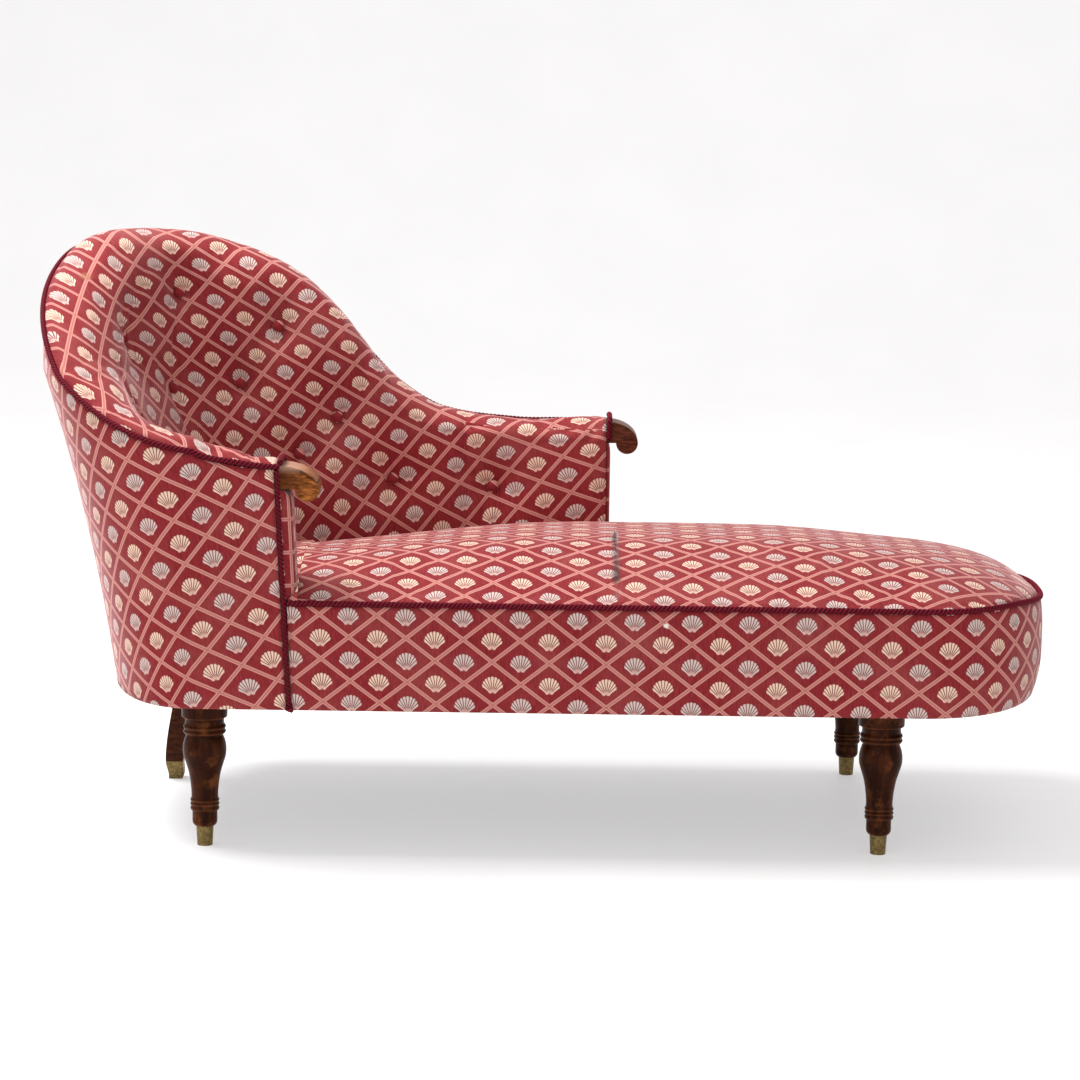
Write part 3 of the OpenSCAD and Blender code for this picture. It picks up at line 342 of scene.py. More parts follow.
def seat_edge(side, kind, place, z):
    if kind == "wall":
        return head_pt(place, wall_in(place, z) + SEAT_GAP, z)
    if kind == "open":
        return np.array([place, side * (side_y(z) - ROPE_SEAT), z])
    return foot_pt(0.5 + side * place, ROPE_SEAT, z)


def seat_row(near, far, v, turn=0.0, head=None):
    """One row of points across the seat, on top and underneath."""
    ends = []
    for side, (kind, place) in ((-1, near), (1, far)):
        x = seat_edge(side, kind, place, SEAT_Z)[0]
        if kind == "wall":
            z = crease_z(x)
        elif kind == "foot":
            z = edge_z(0.5 + side * place)
        else:
            z = edge_z(far_rope_place(place)) if side > 0 else SEAT_Z
        ends.append((z, seat_edge(side, kind, place, z), seat_edge(side, kind, place, STUFF_Z)))
    rows = []
    for k in (1, 2):
        p = lerp(ends[0][k], ends[1][k], (v[:, None] + 1) / 2)
        if head is not None:
            lead = np.array([seat_edge(0, "wall", 0.5 + HEAD_SPREAD * math.asin(a) / math.pi, z)
                             for a, z in zip(v, p[:, 2])])
            p = lerp(lead, p, head)
        rows.append(p)
    top, low = rows
    rho = (turn + (1 - turn) * np.abs(v) ** FOOT_ROUND) ** (1 / FOOT_ROUND)
    power = lerp(CROWN_POWER, FOOT_POWER, turn)
    if near[0] == "wall":
        edge = np.where(v < 0, ends[0][0], ends[1][0])
    else:
        edge = lerp(ends[0][0], ends[1][0], smooth((v + 1) / 2))
    lean = 1 - CROWN_LEAN * v * (1 - turn)
    top[:, 2] = edge + (crown_z(top[:, 0]) - edge) * (1 - rho ** power) * lean
    if far[0] == "wall" and near[0] == "open":
        whole = top[:, 1] / (side_y(SEAT_Z) - ROPE_SEAT)
        round_top = (1 - np.abs(whole) ** CROWN_POWER) * (1 - CROWN_LEAN * whole)
        full = SEAT_Z + (crown_z(top[:, 0]) - SEAT_Z) * round_top
        top[:, 2] = lerp(top[:, 2], full, smooth((top[:, 0] - FAR_OPEN_X) / WHOLE_RISE + 1))
    return top, low


# Meshes
def new_piece(name, bm, crease=None):
    """A smooth piece, with its edges kept sharp where its faces turn more than the crease."""
    mesh = bpy.data.meshes.new(name)
    bm.to_mesh(mesh)
    bm.free()
    mesh.polygons.foreach_set("use_smooth", [True] * len(mesh.polygons))
    if crease:
        mesh.set_sharp_from_angle(angle=math.radians(crease))
    piece = bpy.data.objects.new(name, mesh)
    bpy.context.scene.collection.objects.link(piece)
    return piece


def shaped_grid(points, cloth=None, closed=True, held=None):
    """A grid bent to rows of points in millimetres. A closed one is rolled up and capped."""
    if closed:
        points = np.concatenate([points, points[:, :1]], 1)
    rows, cols = points.shape[:2]
    bm = bmesh.new()
    bmesh.ops.create_grid(bm, x_segments=rows - 1, y_segments=cols - 1, size=1)
    bm.verts.index_update()
    place = [(round((v.co.x + 1) / 2 * (rows - 1)), round((v.co.y + 1) / 2 * (cols - 1))) for v in bm.verts]
    if cloth is not None:
        layer = bm.loops.layers.uv.new("cloth")
        for face in bm.faces:
            for corner in face.loops:
                i, j = place[corner.vert.index]
                corner[layer].uv = cloth[i, j]
    if held is not None:
        grip = bm.verts.layers.float.new("held")
    for v, (i, j) in zip(bm.verts, place):
        v.co = Vector(points[i, j]) * MM
        if held is not None:
            v[grip] = held[i, j] if j < held.shape[1] else 1
    if closed:
        bmesh.ops.remove_doubles(bm, verts=bm.verts, dist=1e-6)
        bmesh.ops.holes_fill(bm, edges=[e for e in bm.edges if e.is_boundary], sides=0)
    bmesh.ops.recalc_face_normals(bm, faces=bm.faces)
    return bm


def lengths(points):
    """Distance along each row of points."""
    steps = np.linalg.norm(np.diff(points, axis=0), axis=-1)
    return np.concatenate([np.zeros_like(steps[:1]), np.cumsum(steps, 0)])


def turned(u, v, degrees, shift):
    """Cloth coordinates in metres, turned and moved on the piece."""
    c, d = math.cos(math.radians(degrees)), math.sin(math.radians(degrees))
    return np.stack([c * u + d * v - shift[0], -d * u + c * v - shift[1]], -1) * MM


def rope_frames(path):
    """Two directions across a rope at each point, carried along it without a twist."""
    heading = np.gradient(path, axis=0)
    heading /= np.linalg.norm(heading, axis=1)[:, None]
    side = np.zeros_like(path)
    carried = np.array([0.0, 1.0, 0.0]) if abs(heading[0, 2]) > 0.9 else np.array([0.0, 0.0, 1.0])
    for i, way in enumerate(heading):
        carried = carried - way * np.dot(carried, way)
        carried /= np.linalg.norm(carried)
        side[i] = carried
    return side, np.cross(side, heading)


def evenly(path, step):
    """The same path with points a step apart."""
    gone = lengths(path)
    count = max(2, int(gone[-1] / step) + 1)
    there = np.linspace(0, gone[-1], count)
    return np.stack([np.interp(there, gone, path[:, k]) for k in range(3)], 1), there


ROPE_STEP = 1.7
ROPE_SIDES = 21
ROPE_LAY = 18.6
POST_ROPE_SHARE = 0.82
STRANDS = 3
# Radius at the bottom of a groove, as a share of the rope's
ROPE_GROOVE = 0.66


def twisted_rope(name, path, share):
    """A rope of three strands along a path, as thick as a share of the full rope."""
    path, gone = evenly(path, ROPE_STEP)
    side, up = rope_frames(path)
    turn = np.linspace(0, TAU, ROPE_SIDES, endpoint=False)
    lay = turn[None, :] - TAU * gone[:, None] / ROPE_LAY
    r = share * ROPE_R * lerp(ROPE_GROOVE, 1, np.abs(np.cos(STRANDS / 2 * lay)))
    points = (path[:, None] + r[..., None] * (np.cos(turn)[None, :, None] * side[:, None]
                                              + np.sin(turn)[None, :, None] * up[:, None]))
    across = np.linspace(0, 1, ROPE_SIDES + 1)
    cloth = np.stack(np.meshgrid(gone * MM, across, indexing="ij"), -1)
    return new_piece(name, shaped_grid(points, cloth))


# Materials
class Wire:
    """An output in a material's node tree, with arithmetic."""

    def __init__(self, tree, socket):
        self.tree, self.socket = tree, socket

    def math(self, operation, *others):
        node = self.tree.nodes.new("ShaderNodeMath")
        node.operation = operation
        for slot, value in zip(node.inputs, (self, *others)):
            if isinstance(value, Wire):
                self.tree.links.new(value.socket, slot)
            else:
                slot.default_value = value
        return Wire(self.tree, node.outputs[0])

    def __add__(self, other):
        return self.math("ADD", other)

    def __sub__(self, other):
        return self.math("SUBTRACT", other)

    def __mul__(self, other):
        return self.math("MULTIPLY", other)

    def __truediv__(self, other):
        return self.math("DIVIDE", other)

    def abs(self):
        return self.math("ABSOLUTE")

    def round(self):
        return self.math("ROUND")

    def below(self, edge, blur):
        """1 below the edge and 0 above it, with a soft step as wide as blur."""
        return self.ramp(edge - blur / 2, edge + blur / 2, 1, 0)

    def ramp(self, start, end, low, high):
        node = self.tree.nodes.new("ShaderNodeMapRange")
        node.interpolation_type = "SMOOTHSTEP"
        self.tree.links.new(self.socket, node.inputs["Value"])
        node.inputs["From Min"].default_value = start
        node.inputs["From Max"].default_value = end
        node.inputs["To Min"].default_value = low
        node.inputs["To Max"].default_value = high
        return Wire(self.tree, node.outputs["Result"])


class Finish:
    """A material under construction."""

    def __init__(self, name, roughness, metallic=0.0, **shader):
        self.material = bpy.data.materials.new(name)
        self.material.use_nodes = True
        self.tree = self.material.node_tree
        self.shader = self.tree.nodes["Principled BSDF"]
        self.shader.inputs["Roughness"].default_value = roughness
        self.shader.inputs["Metallic"].default_value = metallic
        for key, value in shader.items():
            self.shader.inputs[key.replace("_", " ")].default_value = value

    def node(self, kind, output=0, **settings):
        node = self.tree.nodes.new("ShaderNode" + kind)
        inputs = settings.pop("inputs", {})
        for key, value in settings.items():
            setattr(node, key, value)
        for key, value in inputs.items():
            if isinstance(value, Wire):
                self.tree.links.new(value.socket, node.inputs[key])
            else:
                node.inputs[key].default_value = value
        return Wire(self.tree, node.outputs[output])

    def place(self, map_name=None, scale=(1, 1, 1)):
        if map_name:
            start = self.node("UVMap", uv_map=map_name)
        else:
            start = self.node("TexCoord", output="Object")
        return self.node("Mapping", inputs={"Vector": start, "Scale": scale})

    def split(self, vector):
        node = self.tree.nodes.new("ShaderNodeSeparateXYZ")
        self.tree.links.new(vector.socket, node.inputs[0])
        return [Wire(self.tree, node.outputs[k]) for k in range(3)]

    def noise(self, place, scale, detail=3.0, rough=0.55, distortion=0.0):
        return self.node("TexNoise", inputs={
            "Vector": place, "Scale": scale, "Detail": detail, "Roughness": rough, "Distortion": distortion})

    def mix(self, share, a, b, blend="MIX"):
        node = self.tree.nodes.new("ShaderNodeMix")
        node.data_type = "RGBA"
        node.blend_type = blend
        for key, value in (("Factor_Float", share), ("A_Color", a), ("B_Color", b)):
            slot = next(s for s in node.inputs if s.identifier == key)
            if isinstance(value, Wire):
                self.tree.links.new(value.socket, slot)
            else:
                slot.default_value = value if key == "Factor_Float" else (*value, 1)
        return Wire(self.tree, next(s for s in node.outputs if s.identifier == "Result_Color"))

    def color(self, wire):
        self.tree.links.new(wire.socket, self.shader.inputs["Base Color"])

    def roughness(self, wire):
        self.tree.links.new(wire.socket, self.shader.inputs["Roughness"])

    def bump(self, height, distance, strength=1.0):
        node = self.tree.nodes.new("ShaderNodeBump")
        node.inputs["Strength"].default_value = strength
        node.inputs["Distance"].default_value = distance
        self.tree.links.new(height.socket, node.inputs["Height"])
        previous = self.shader.inputs["Normal"]
        if previous.is_linked:
            self.tree.links.new(previous.links[0].from_socket, node.inputs["Normal"])
        self.tree.links.new(node.outputs[0], previous)


# Colours, linear
RED_DEEP = (0.165, 0.010, 0.013)
RED_LIGHT = (0.285, 0.026, 0.032)
BAND_PINK = (0.50, 0.185, 0.16)
BAND_EDGE = (0.60, 0.27, 0.23)
BAND_STRIPE = (0.38, 0.13, 0.10)
CREAM_SHELL = (0.82, 0.59, 0.45)
GREY_SHELL = (0.64, 0.52, 0.47)
SHELL_LINE = (0.15, 0.025, 0.030)
SHELL_ROOT = (0.60, 0.30, 0.26)
# Rope: near black painted shade for the grooves between its strands, and its own maroon on the strands
ROPE_PAINTED_SHADE = (0.006, 0.0006, 0.0015)
ROPE_LIGHT = (0.17, 0.008, 0.020)

REPEAT_X = 80.0 * MM
REPEAT_Z = 62.4 * MM
CELL = 1 / math.hypot(1 / REPEAT_X, 1 / REPEAT_Z)
BAND_HALF = 2.7 * MM / CELL
STRIPE_HALF = 0.75 * MM / CELL
# A shell in millimetres: its foot lies under the middle of its diamond, and its wings over the foot
SHELL_FOOT = 13.6
SHELL_FOOT_HALF = 4.8
SHELL_WING = 9.5
SHELL_R = 14.8
SHELL_LOBE = math.radians(12.7)


# A torn spot on the border and a faint stain on the head: place, reach, colour and strength
WEAR_MARKS = (
    ((172.8, -311, 339), 3.5, (0.80, 0.74, 0.68), 0.9),
    ((-675.6, -4.8, 788.8), 9, (0.30, 0.13, 0.06), 0.5),
)


def lattice_cloth():
    """Woven red cloth with a pale diamond lattice and a shell in each diamond."""
    f = Finish("lattice_cloth", 0.75, Sheen_Weight=0.42, Sheen_Roughness=0.32)
    f.shader.inputs["Specular IOR Level"].default_value = 0.12
    f.shader.inputs["Sheen Tint"].default_value = (1.0, 0.74, 0.74, 1)
    place = f.place("cloth")
    x, z, _ = f.split(place)
    x, z = x / REPEAT_X, z / REPEAT_Z
    a, b = x + z, x - z
    na, nb = a.round(), b.round()
    la = (a - na).abs() * -1 + 0.5
    lb = (b - nb).abs() * -1 + 0.5
    line_d = la.math("MINIMUM", lb)
    across = la.math("LESS_THAN", lb)
    run = across * b + (across * -1 + 1) * a
    band = line_d.below(BAND_HALF, 0.012)
    edge = (line_d - BAND_HALF * 0.75).abs().below(0.016, 0.014)
    dots = (run * (TAU * 14)).math("SINE").ramp(-0.3, 0.3, 0.25, 1)
    stripe = line_d.below(STRIPE_HALF, 0.01) * dots

    dx = (x - (na + nb) * 0.5) * (REPEAT_X / MM)
    dz = (z - (na - nb) * 0.5) * (REPEAT_Z / MM) + SHELL_FOOT
    theta = dx.math("ARCTAN2", dz)
    r = (dx * dx + dz * dz).math("SQRT")
    lobe = theta / SHELL_LOBE
    off = (lobe - lobe.round()).abs()
    up = dz - SHELL_WING
    fan_r = (dx * dx + up * up).math("SQRT") / (off * off * -0.42 + 1)
    fan = fan_r.below(SHELL_R, 0.9) * up.math("GREATER_THAN", 0)
    spread = (dz.math("MAXIMUM", 0.0) / SHELL_WING).math("POWER", 1.5)
    taper = dx.abs() - (spread * (SHELL_R - SHELL_FOOT_HALF) + SHELL_FOOT_HALF)
    low = taper.below(0, 0.8) * up.math("LESS_THAN", 0) * (dz * -1).below(0, 0.8)
    notch = r.below(1.6, 0.8)
    shell = (fan + low).math("MINIMUM", 1.0) * (notch * -0.8 + 1)
    gap = (off * -1 + 0.5) * (r * SHELL_LOBE)
    ribs = gap.below(0.62, 0.5) * r.ramp(3.0, 7.5, 0.15, 1) * theta.abs().below(4.2 * SHELL_LOBE, 0.05)
    stem = dx.abs().below(0.5, 0.4) * r.below(6.5, 1.0)
    rim = (fan_r - (SHELL_R - 0.7)).abs().below(0.5, 0.5) * up.math("GREATER_THAN", 0)
    kind = ((na - nb) * 0.5 - ((na - nb) * 0.5).math("FLOOR")).math("GREATER_THAN", 0.25)

    streaks = f.noise(f.place("cloth", (900, 60, 1)), 1, 2)
    yarn = f.noise(f.place("cloth", (1300, 900, 1)), 1, 2)
    fade = f.noise(f.place("cloth", (9, 9, 1)), 1, 3)
    red = f.mix(streaks.ramp(0.3, 0.72, 0, 1), RED_DEEP, RED_LIGHT)
    red = f.mix(fade.ramp(0.4, 0.75, 0, 0.16), red, BAND_PINK)
    pink = f.mix(edge, BAND_PINK, BAND_EDGE)
    pink = f.mix(stripe * 0.8, pink, BAND_STRIPE)
    tone = f.mix(kind, GREY_SHELL, CREAM_SHELL)
    tone = f.mix(r.ramp(2.0, 9.0, 0.55, 0), tone, SHELL_ROOT)
    lines = f.mix(r.ramp(4.0, 9.0, 0, 1), SHELL_ROOT, SHELL_LINE)
    tone = f.mix(ribs.math("MAXIMUM", stem) * 0.95, tone, lines)
    tone = f.mix(rim * 0.12, tone, SHELL_LINE)
    color = f.mix(band, red, pink)
    color = f.mix(shell, color, tone)
    color = f.mix(yarn.ramp(0.25, 0.75, 0.22, 0), color, RED_DEEP)
    for mark, reach, tint, share in WEAR_MARKS:
        away = f.node("VectorMath", output="Value", operation="DISTANCE",
                      inputs={0: f.place(None), 1: Vector(mark) * MM})
        ragged = away + (f.noise(f.place(None), 400, 3) - 0.5) * 0.006
        color = f.mix(ragged.below(reach * MM, reach * MM * 0.8) * share, color, tint)
    f.color(color)
    f.bump(yarn * 0.6 + streaks * 0.4 + band * 0.35 + shell * 0.4, 0.0006, 0.55)
    return f.material


def rope_finish():
    f = Finish("maroon_rope", 0.7)
    f.shader.inputs["Specular IOR Level"].default_value = 0.06
    place = f.place("cloth")
    u, v, _ = f.split(place)
    lay = (v - u / (ROPE_LAY * MM)) * (STRANDS * TAU / 2)
    # Painted shade: the grooves between the strands are painted near black, and the ridges keep the rope's
    # maroon
    strand_shading = lay.math("COSINE").abs()
    fibre = f.noise(f.place("cloth", (700, 9, 1)), 1, 2)
    color = f.mix(strand_shading.ramp(0.1, 0.9, 0, 1) * fibre.ramp(0.2, 0.7, 0.55, 1), ROPE_PAINTED_SHADE, ROPE_LIGHT)
    f.color(color)
    f.bump(fibre, 0.0005, 0.6)
    return f.material


def plain_finish(name, dark, light, roughness, stretch, metallic=0.0):
    """Wood, webbing, canvas and metal of the frame, on the object's own coordinates."""
    f = Finish(name, roughness, metallic)
    grain = f.noise(f.place(None, stretch), 1, 5, 0.6, 0.4)
    f.color(f.mix(grain.ramp(0.3, 0.7, 0, 1), dark, light))
    f.bump(grain, 0.0003, 0.4)
    return f.material


def leg_finish():
    """Dark brown polish, worn to orange brown in patches, and a lighter orange brown on the sharp edges of
    the rings.
    """
    f = Finish("leg_polish", 0.3)
    f.shader.inputs["Specular IOR Level"].default_value = 0.05
    place = f.place(None)
    grain = f.noise(f.place(None, (55, 55, 6)), 1, 4, 0.6, 0.6)
    wear = f.noise(place, 38, 4, 0.65)
    edge = f.node("NewGeometry", output="Pointiness").ramp(0.505, 0.56, 0, 1)
    color = f.mix(grain.ramp(0.35, 0.7, 0, 1), (0.016, 0.0035, 0.0012), (0.052, 0.013, 0.004))
    color = f.mix(wear.ramp(0.5, 0.72, 0, 0.6), color, (0.17, 0.05, 0.013))
    # A lighter orange brown on sharp convex edges, such as the rings'
    color = f.mix(edge * wear.ramp(0.35, 0.6, 0.2, 1), color, (0.15, 0.045, 0.014))
    f.color(color)
    f.roughness(wear.ramp(0.3, 0.7, 0.22, 0.42))
    f.bump(grain, 0.0003, 0.25)
    return f.material


def scroll_finish(name, dark, light, split=None):
    f = Finish(name, 0.36)
    f.shader.inputs["Specular IOR Level"].default_value = 0.06
    grain = f.noise(f.place(None, (60, 260, 260)), 1, 5, 0.62, 0.8)
    patch = f.noise(f.place(None), 45, 3)
    color = f.mix(grain.ramp(0.3, 0.7, 0, 1), dark, light)
    color = f.mix(patch.ramp(0.5, 0.75, 0, 0.5), color, dark)
    if split:
        crack = f.node("VectorMath", output="Value", operation="DOT_PRODUCT",
                       inputs={0: f.place(None), 1: (0.573, 0, 0.82)})
        x, _, z = f.split(f.place(None))
        off = (crack - split + (f.noise(f.place(None), 120, 2) - 0.5) * 0.003).abs()
        color = f.mix(x.ramp(-0.362, -0.335, 0.7, 0), color, dark)
        # Painted highlight: the top of the near scroll, above about 0.55 m, is painted pale
        color = f.mix(z.ramp(0.542, 0.556, 0, 0.6), color, (0.55, 0.33, 0.24))
        crack = off.below(0.0006, 0.0006) * x.ramp(-0.341, -0.336, 0, 1)
        color = f.mix(crack, color, (0.01, 0.004, 0.002))
        f.bump(crack * -1, 0.0008, 0.8)
    f.color(color)
    f.bump(grain, 0.0003, 0.3)
    return f.material


def brass_finish():
    f = Finish("dull_brass", 0.42, 1.0)
    spots = f.noise(f.place(None), 220, 5, 0.65)
    f.color(f.mix(spots.ramp(0.35, 0.7, 0, 1), (0.12, 0.08, 0.03), (0.30, 0.22, 0.09)))
    f.roughness(spots.ramp(0.3, 0.7, 0.35, 0.6))
    f.bump(spots, 0.0002, 0.3)
    return f.material


# Where the near scroll's crack lies, along the way across it, in metres
SCROLL_SPLIT = 0.2557
CLOTH = lattice_cloth()
ROPE = rope_finish()
FINISHES = {
    "frame_wood": plain_finish("sawn_beech", (0.42, 0.27, 0.14), (0.60, 0.42, 0.24), 0.65, (3, 40, 40)),
    "leg_wood": leg_finish(),
    "scroll_wood": scroll_finish(
        "scroll_polish_near", (0.075, 0.018, 0.004), (0.40, 0.125, 0.028), SCROLL_SPLIT),
    "brass": brass_finish(),
    "steel": plain_finish("spring_steel", (0.20, 0.20, 0.21), (0.42, 0.42, 0.43), 0.4, (60, 60, 60), 1.0),
    "webbing": plain_finish("jute_webbing", (0.36, 0.27, 0.15), (0.52, 0.42, 0.26), 0.9, (700, 700, 30)),
    "canvas": plain_finish("canvas", (0.42, 0.34, 0.22), (0.58, 0.50, 0.36), 0.9, (900, 900, 900)),
    "black_cloth": plain_finish(
        "black_dust_cloth", (0.006, 0.006, 0.006), (0.02, 0.02, 0.02), 0.9, (800, 800, 800)),
    "stuffing": plain_finish("stuffing", (0.5, 0.45, 0.36), (0.66, 0.6, 0.5), 0.95, (200, 200, 200)),
    "lattice_cloth": CLOTH,
    "edge_rope": ROPE,
}
SABRE = scroll_finish("sabre_polish", (0.020, 0.005, 0.002), (0.085, 0.022, 0.007))
FAR_SCROLL = scroll_finish("scroll_polish_far", (0.045, 0.011, 0.006), (0.16, 0.045, 0.02))

for part in frame["record"]["subparts"]:
    node = frame["nodes"][part["node"]]
    node.data.materials.clear()
    node.data.materials.append(FINISHES[part["material_slot"]])
frame["nodes"]["far_scroll"].data.materials[0] = FAR_SCROLL


def dress(piece, finish, slot, *nodes):
    """Gives a piece its finish, and lets it stand for the nodes that it covers."""
    piece.data.materials.append(finish)
    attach(piece, "root")
    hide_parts(*nodes)
    return piece


# Cloth that swells a little between the places that hold it
SWELL_PRESSURE = 4
SWELL_SLACK = 0.02
SWELL_FRAMES = 14
SWELL_QUALITY = 3


def swollen(piece, cap):
    """Blows a pad up against its pins, moving no point further than the cap, in millimetres."""
    mesh = piece.data
    rest = np.empty(3 * len(mesh.vertices))
    mesh.vertices.foreach_get("co", rest)
    rest = rest.reshape(-1, 3)
    pins = np.empty(len(rest))
    mesh.attributes["held"].data.foreach_get("value", pins)
    mesh.attributes.remove(mesh.attributes["held"])
    group = piece.vertex_groups.new(name="held")
    for weight in (1.0, 0.5):
        group.add([int(i) for i in np.flatnonzero(pins == weight)], weight, "REPLACE")
    cloth = piece.modifiers.new("swell", "CLOTH")
    cloth.settings.quality = SWELL_QUALITY
    cloth.settings.vertex_group_mass = "held"
    cloth.settings.use_pressure = True
    cloth.settings.uniform_pressure_force = SWELL_PRESSURE
    cloth.settings.shrink_min = -SWELL_SLACK
    cloth.settings.effector_weights.gravity = 0
    cloth.collision_settings.use_collision = False
    for number in range(1, SWELL_FRAMES + 1):
        bpy.context.scene.frame_set(number)
    moved = np.empty(rest.size)
    piece.evaluated_get(bpy.context.evaluated_depsgraph_get()).data.vertices.foreach_get("co", moved)
    shift = moved.reshape(-1, 3) - rest
    size = np.linalg.norm(shift, axis=1)[:, None]
    shift *= np.tanh(size / (cap * MM)) * cap * MM / np.maximum(size, 1e-9)
    mesh.vertices.foreach_set("co", (rest + shift).ravel())
    piece.modifiers.remove(cloth)
    piece.vertex_groups.remove(group)
    bpy.context.scene.frame_set(1)
    mesh.update()
    return piece


# Padded back: the front follows the tufted roll and wall, the rear the frame behind it
# Its cloth in millimetres along and up, for 1, x, y, z, xx, xy, xz, yy, yz and zz in draped()
BACK_CLOTH = (
    (40.3, -8.8), (519.7, -112.0), (92.8, 30.8), (107.3, 245.2), (-43.6, -35.5),
    (-73.1, -21.3), (10.3, 28.0), (-54.5, 8.7), (-63.0, -30.6), (14.9, 13.4),
)
DRAPE_SPAN = (500, 300, 200)
DRAPE_MID_Z = 600
# Where the cloth goes over the roll's crest on the near and on the far half, and the turn between them
CREST_NEAR = 0.12
CREST_FAR = 0.58
CREST_TURN = 0.45
CREST_RUN = 0.35
# The pads start this much lower, because they swell
BACK_START = 1.5
BACK_SWELL_CAP = 4
REAR_IN = 66
REAR_SLACK = 22
# Points along the near side, the head and the far side, over the roll, down the wall and up the rear
BACK_ALONG = (26, 130, 100)
BACK_OVER = 34
BACK_DOWN = 46
BACK_REAR = 20
# Places beyond which the back's cloth is tacked down
TACKED_TOP = 0.05
TACKED_LOW = 1.9
TACKED_NEAR = -0.97
TACKED_FAR = 1.98
# Reach of each button's hold on the cloth: firm, then loose
BUTTON_FIRM = 13
BUTTON_LOOSE = 21


def draped(s, f):
    """Where a place of the padding lies on the cloth: one width drawn over the whole inside back."""
    p = section_pt(s, f)
    x, y, z = np.moveaxis((p - (0, 0, DRAPE_MID_Z)) / DRAPE_SPAN, -1, 0)
    terms = np.stack([1 + 0 * x, x, y, z, x * x, x * y, x * z, y * y, y * z, z * z], -1)
    return terms @ np.array(BACK_CLOTH)


def back_cloth(s, f):
    """The cloth's own map, which runs straight on where it goes over the roll's crest."""
    crest = lerp(CREST_NEAR, CREST_FAR, smooth((s - CREST_TURN) / CREST_RUN))
    d = 0.01
    step = np.linalg.norm(section_pt(s, crest) - section_pt(s, crest + d), axis=-1)[..., None]
    way = draped(s, crest) - draped(s, crest + d)
    way /= np.maximum(np.linalg.norm(way, axis=-1)[..., None], 0.5 * step)
    across = np.swapaxes(lengths(np.swapaxes(section_pt(s, f), 0, 1)), 0, 1)
    to_crest = np.array([np.interp(c[0], places, gone) for c, places, gone in zip(crest, f, across)])
    past = to_crest[:, None] - across
    return draped(s, np.maximum(f, crest)) + way * np.maximum(past, 0)[..., None]


def back_pad():
    """The inside back in one closed pad: roll, wall and rear."""
    s = around(*BACK_ALONG)
    f = np.concatenate([np.linspace(0, 1, BACK_OVER)[:-1], np.linspace(1, 2, BACK_DOWN)])
    ss, ff = np.meshgrid(s, f, indexing="ij")
    front = padded_pt(ss, ff, BACK_START)
    tacked = (ff < TACKED_TOP) | (ff > TACKED_LOW) | (ss < TACKED_NEAR) | (ss > TACKED_FAR)
    held = np.where(tacked, 1.0, 0.0)
    for b in BUTTON_PLACES:
        away = np.linalg.norm(section_pt(ss, ff) - b, axis=-1)
        held = np.maximum(held, np.where(away < BUTTON_FIRM, 1.0, np.where(away < BUTTON_LOOSE, 0.5, 0.0)))
    t = np.linspace(1, 0, BACK_REAR)
    st, tt = np.meshgrid(s, t, indexing="ij")
    top = rope_z(st) - SIDE_DRAW + 5 * SOFT_GAP
    rear = head_pt(st, REAR_IN + REAR_SLACK * head_share(st) * tt, lerp(top, STUFF_Z, tt))
    points = np.concatenate([front, rear], 1)

    cloth = np.zeros(points.shape[:1] + (points.shape[1] + 1, 2))
    cloth[:, :len(f)] = back_cloth(ss, ff) * MM
    cloth[:, len(f):] = cloth[:, len(f) - 1:len(f)]
    return swollen(new_piece("back_pad", shaped_grid(points, cloth, held=held)), BACK_SWELL_CAP)


SEAT_TURN = -1
SEAT_SHIFT = (15.4, 10.9)
SEAT_COLS = 97
# How far the points across the seat crowd towards its edges
SEAT_CROWDING = 0.75
# Rows over the head, along the near wall, along the far wall, to the foot and round it
SEAT_ROWS = (9, 20, 50, 45, 30)
SEAT_STEP = 5
SEAT_LIFT = 2
FOOT_LAST = 0.02
# Share of the width past which the seat's cloth is tacked down, and the rows tacked at each end
SEAT_TACKED = 0.97
SEAT_END_ROWS = 3
SEAT_START = 2
SEAT_SWELL_CAP = 3


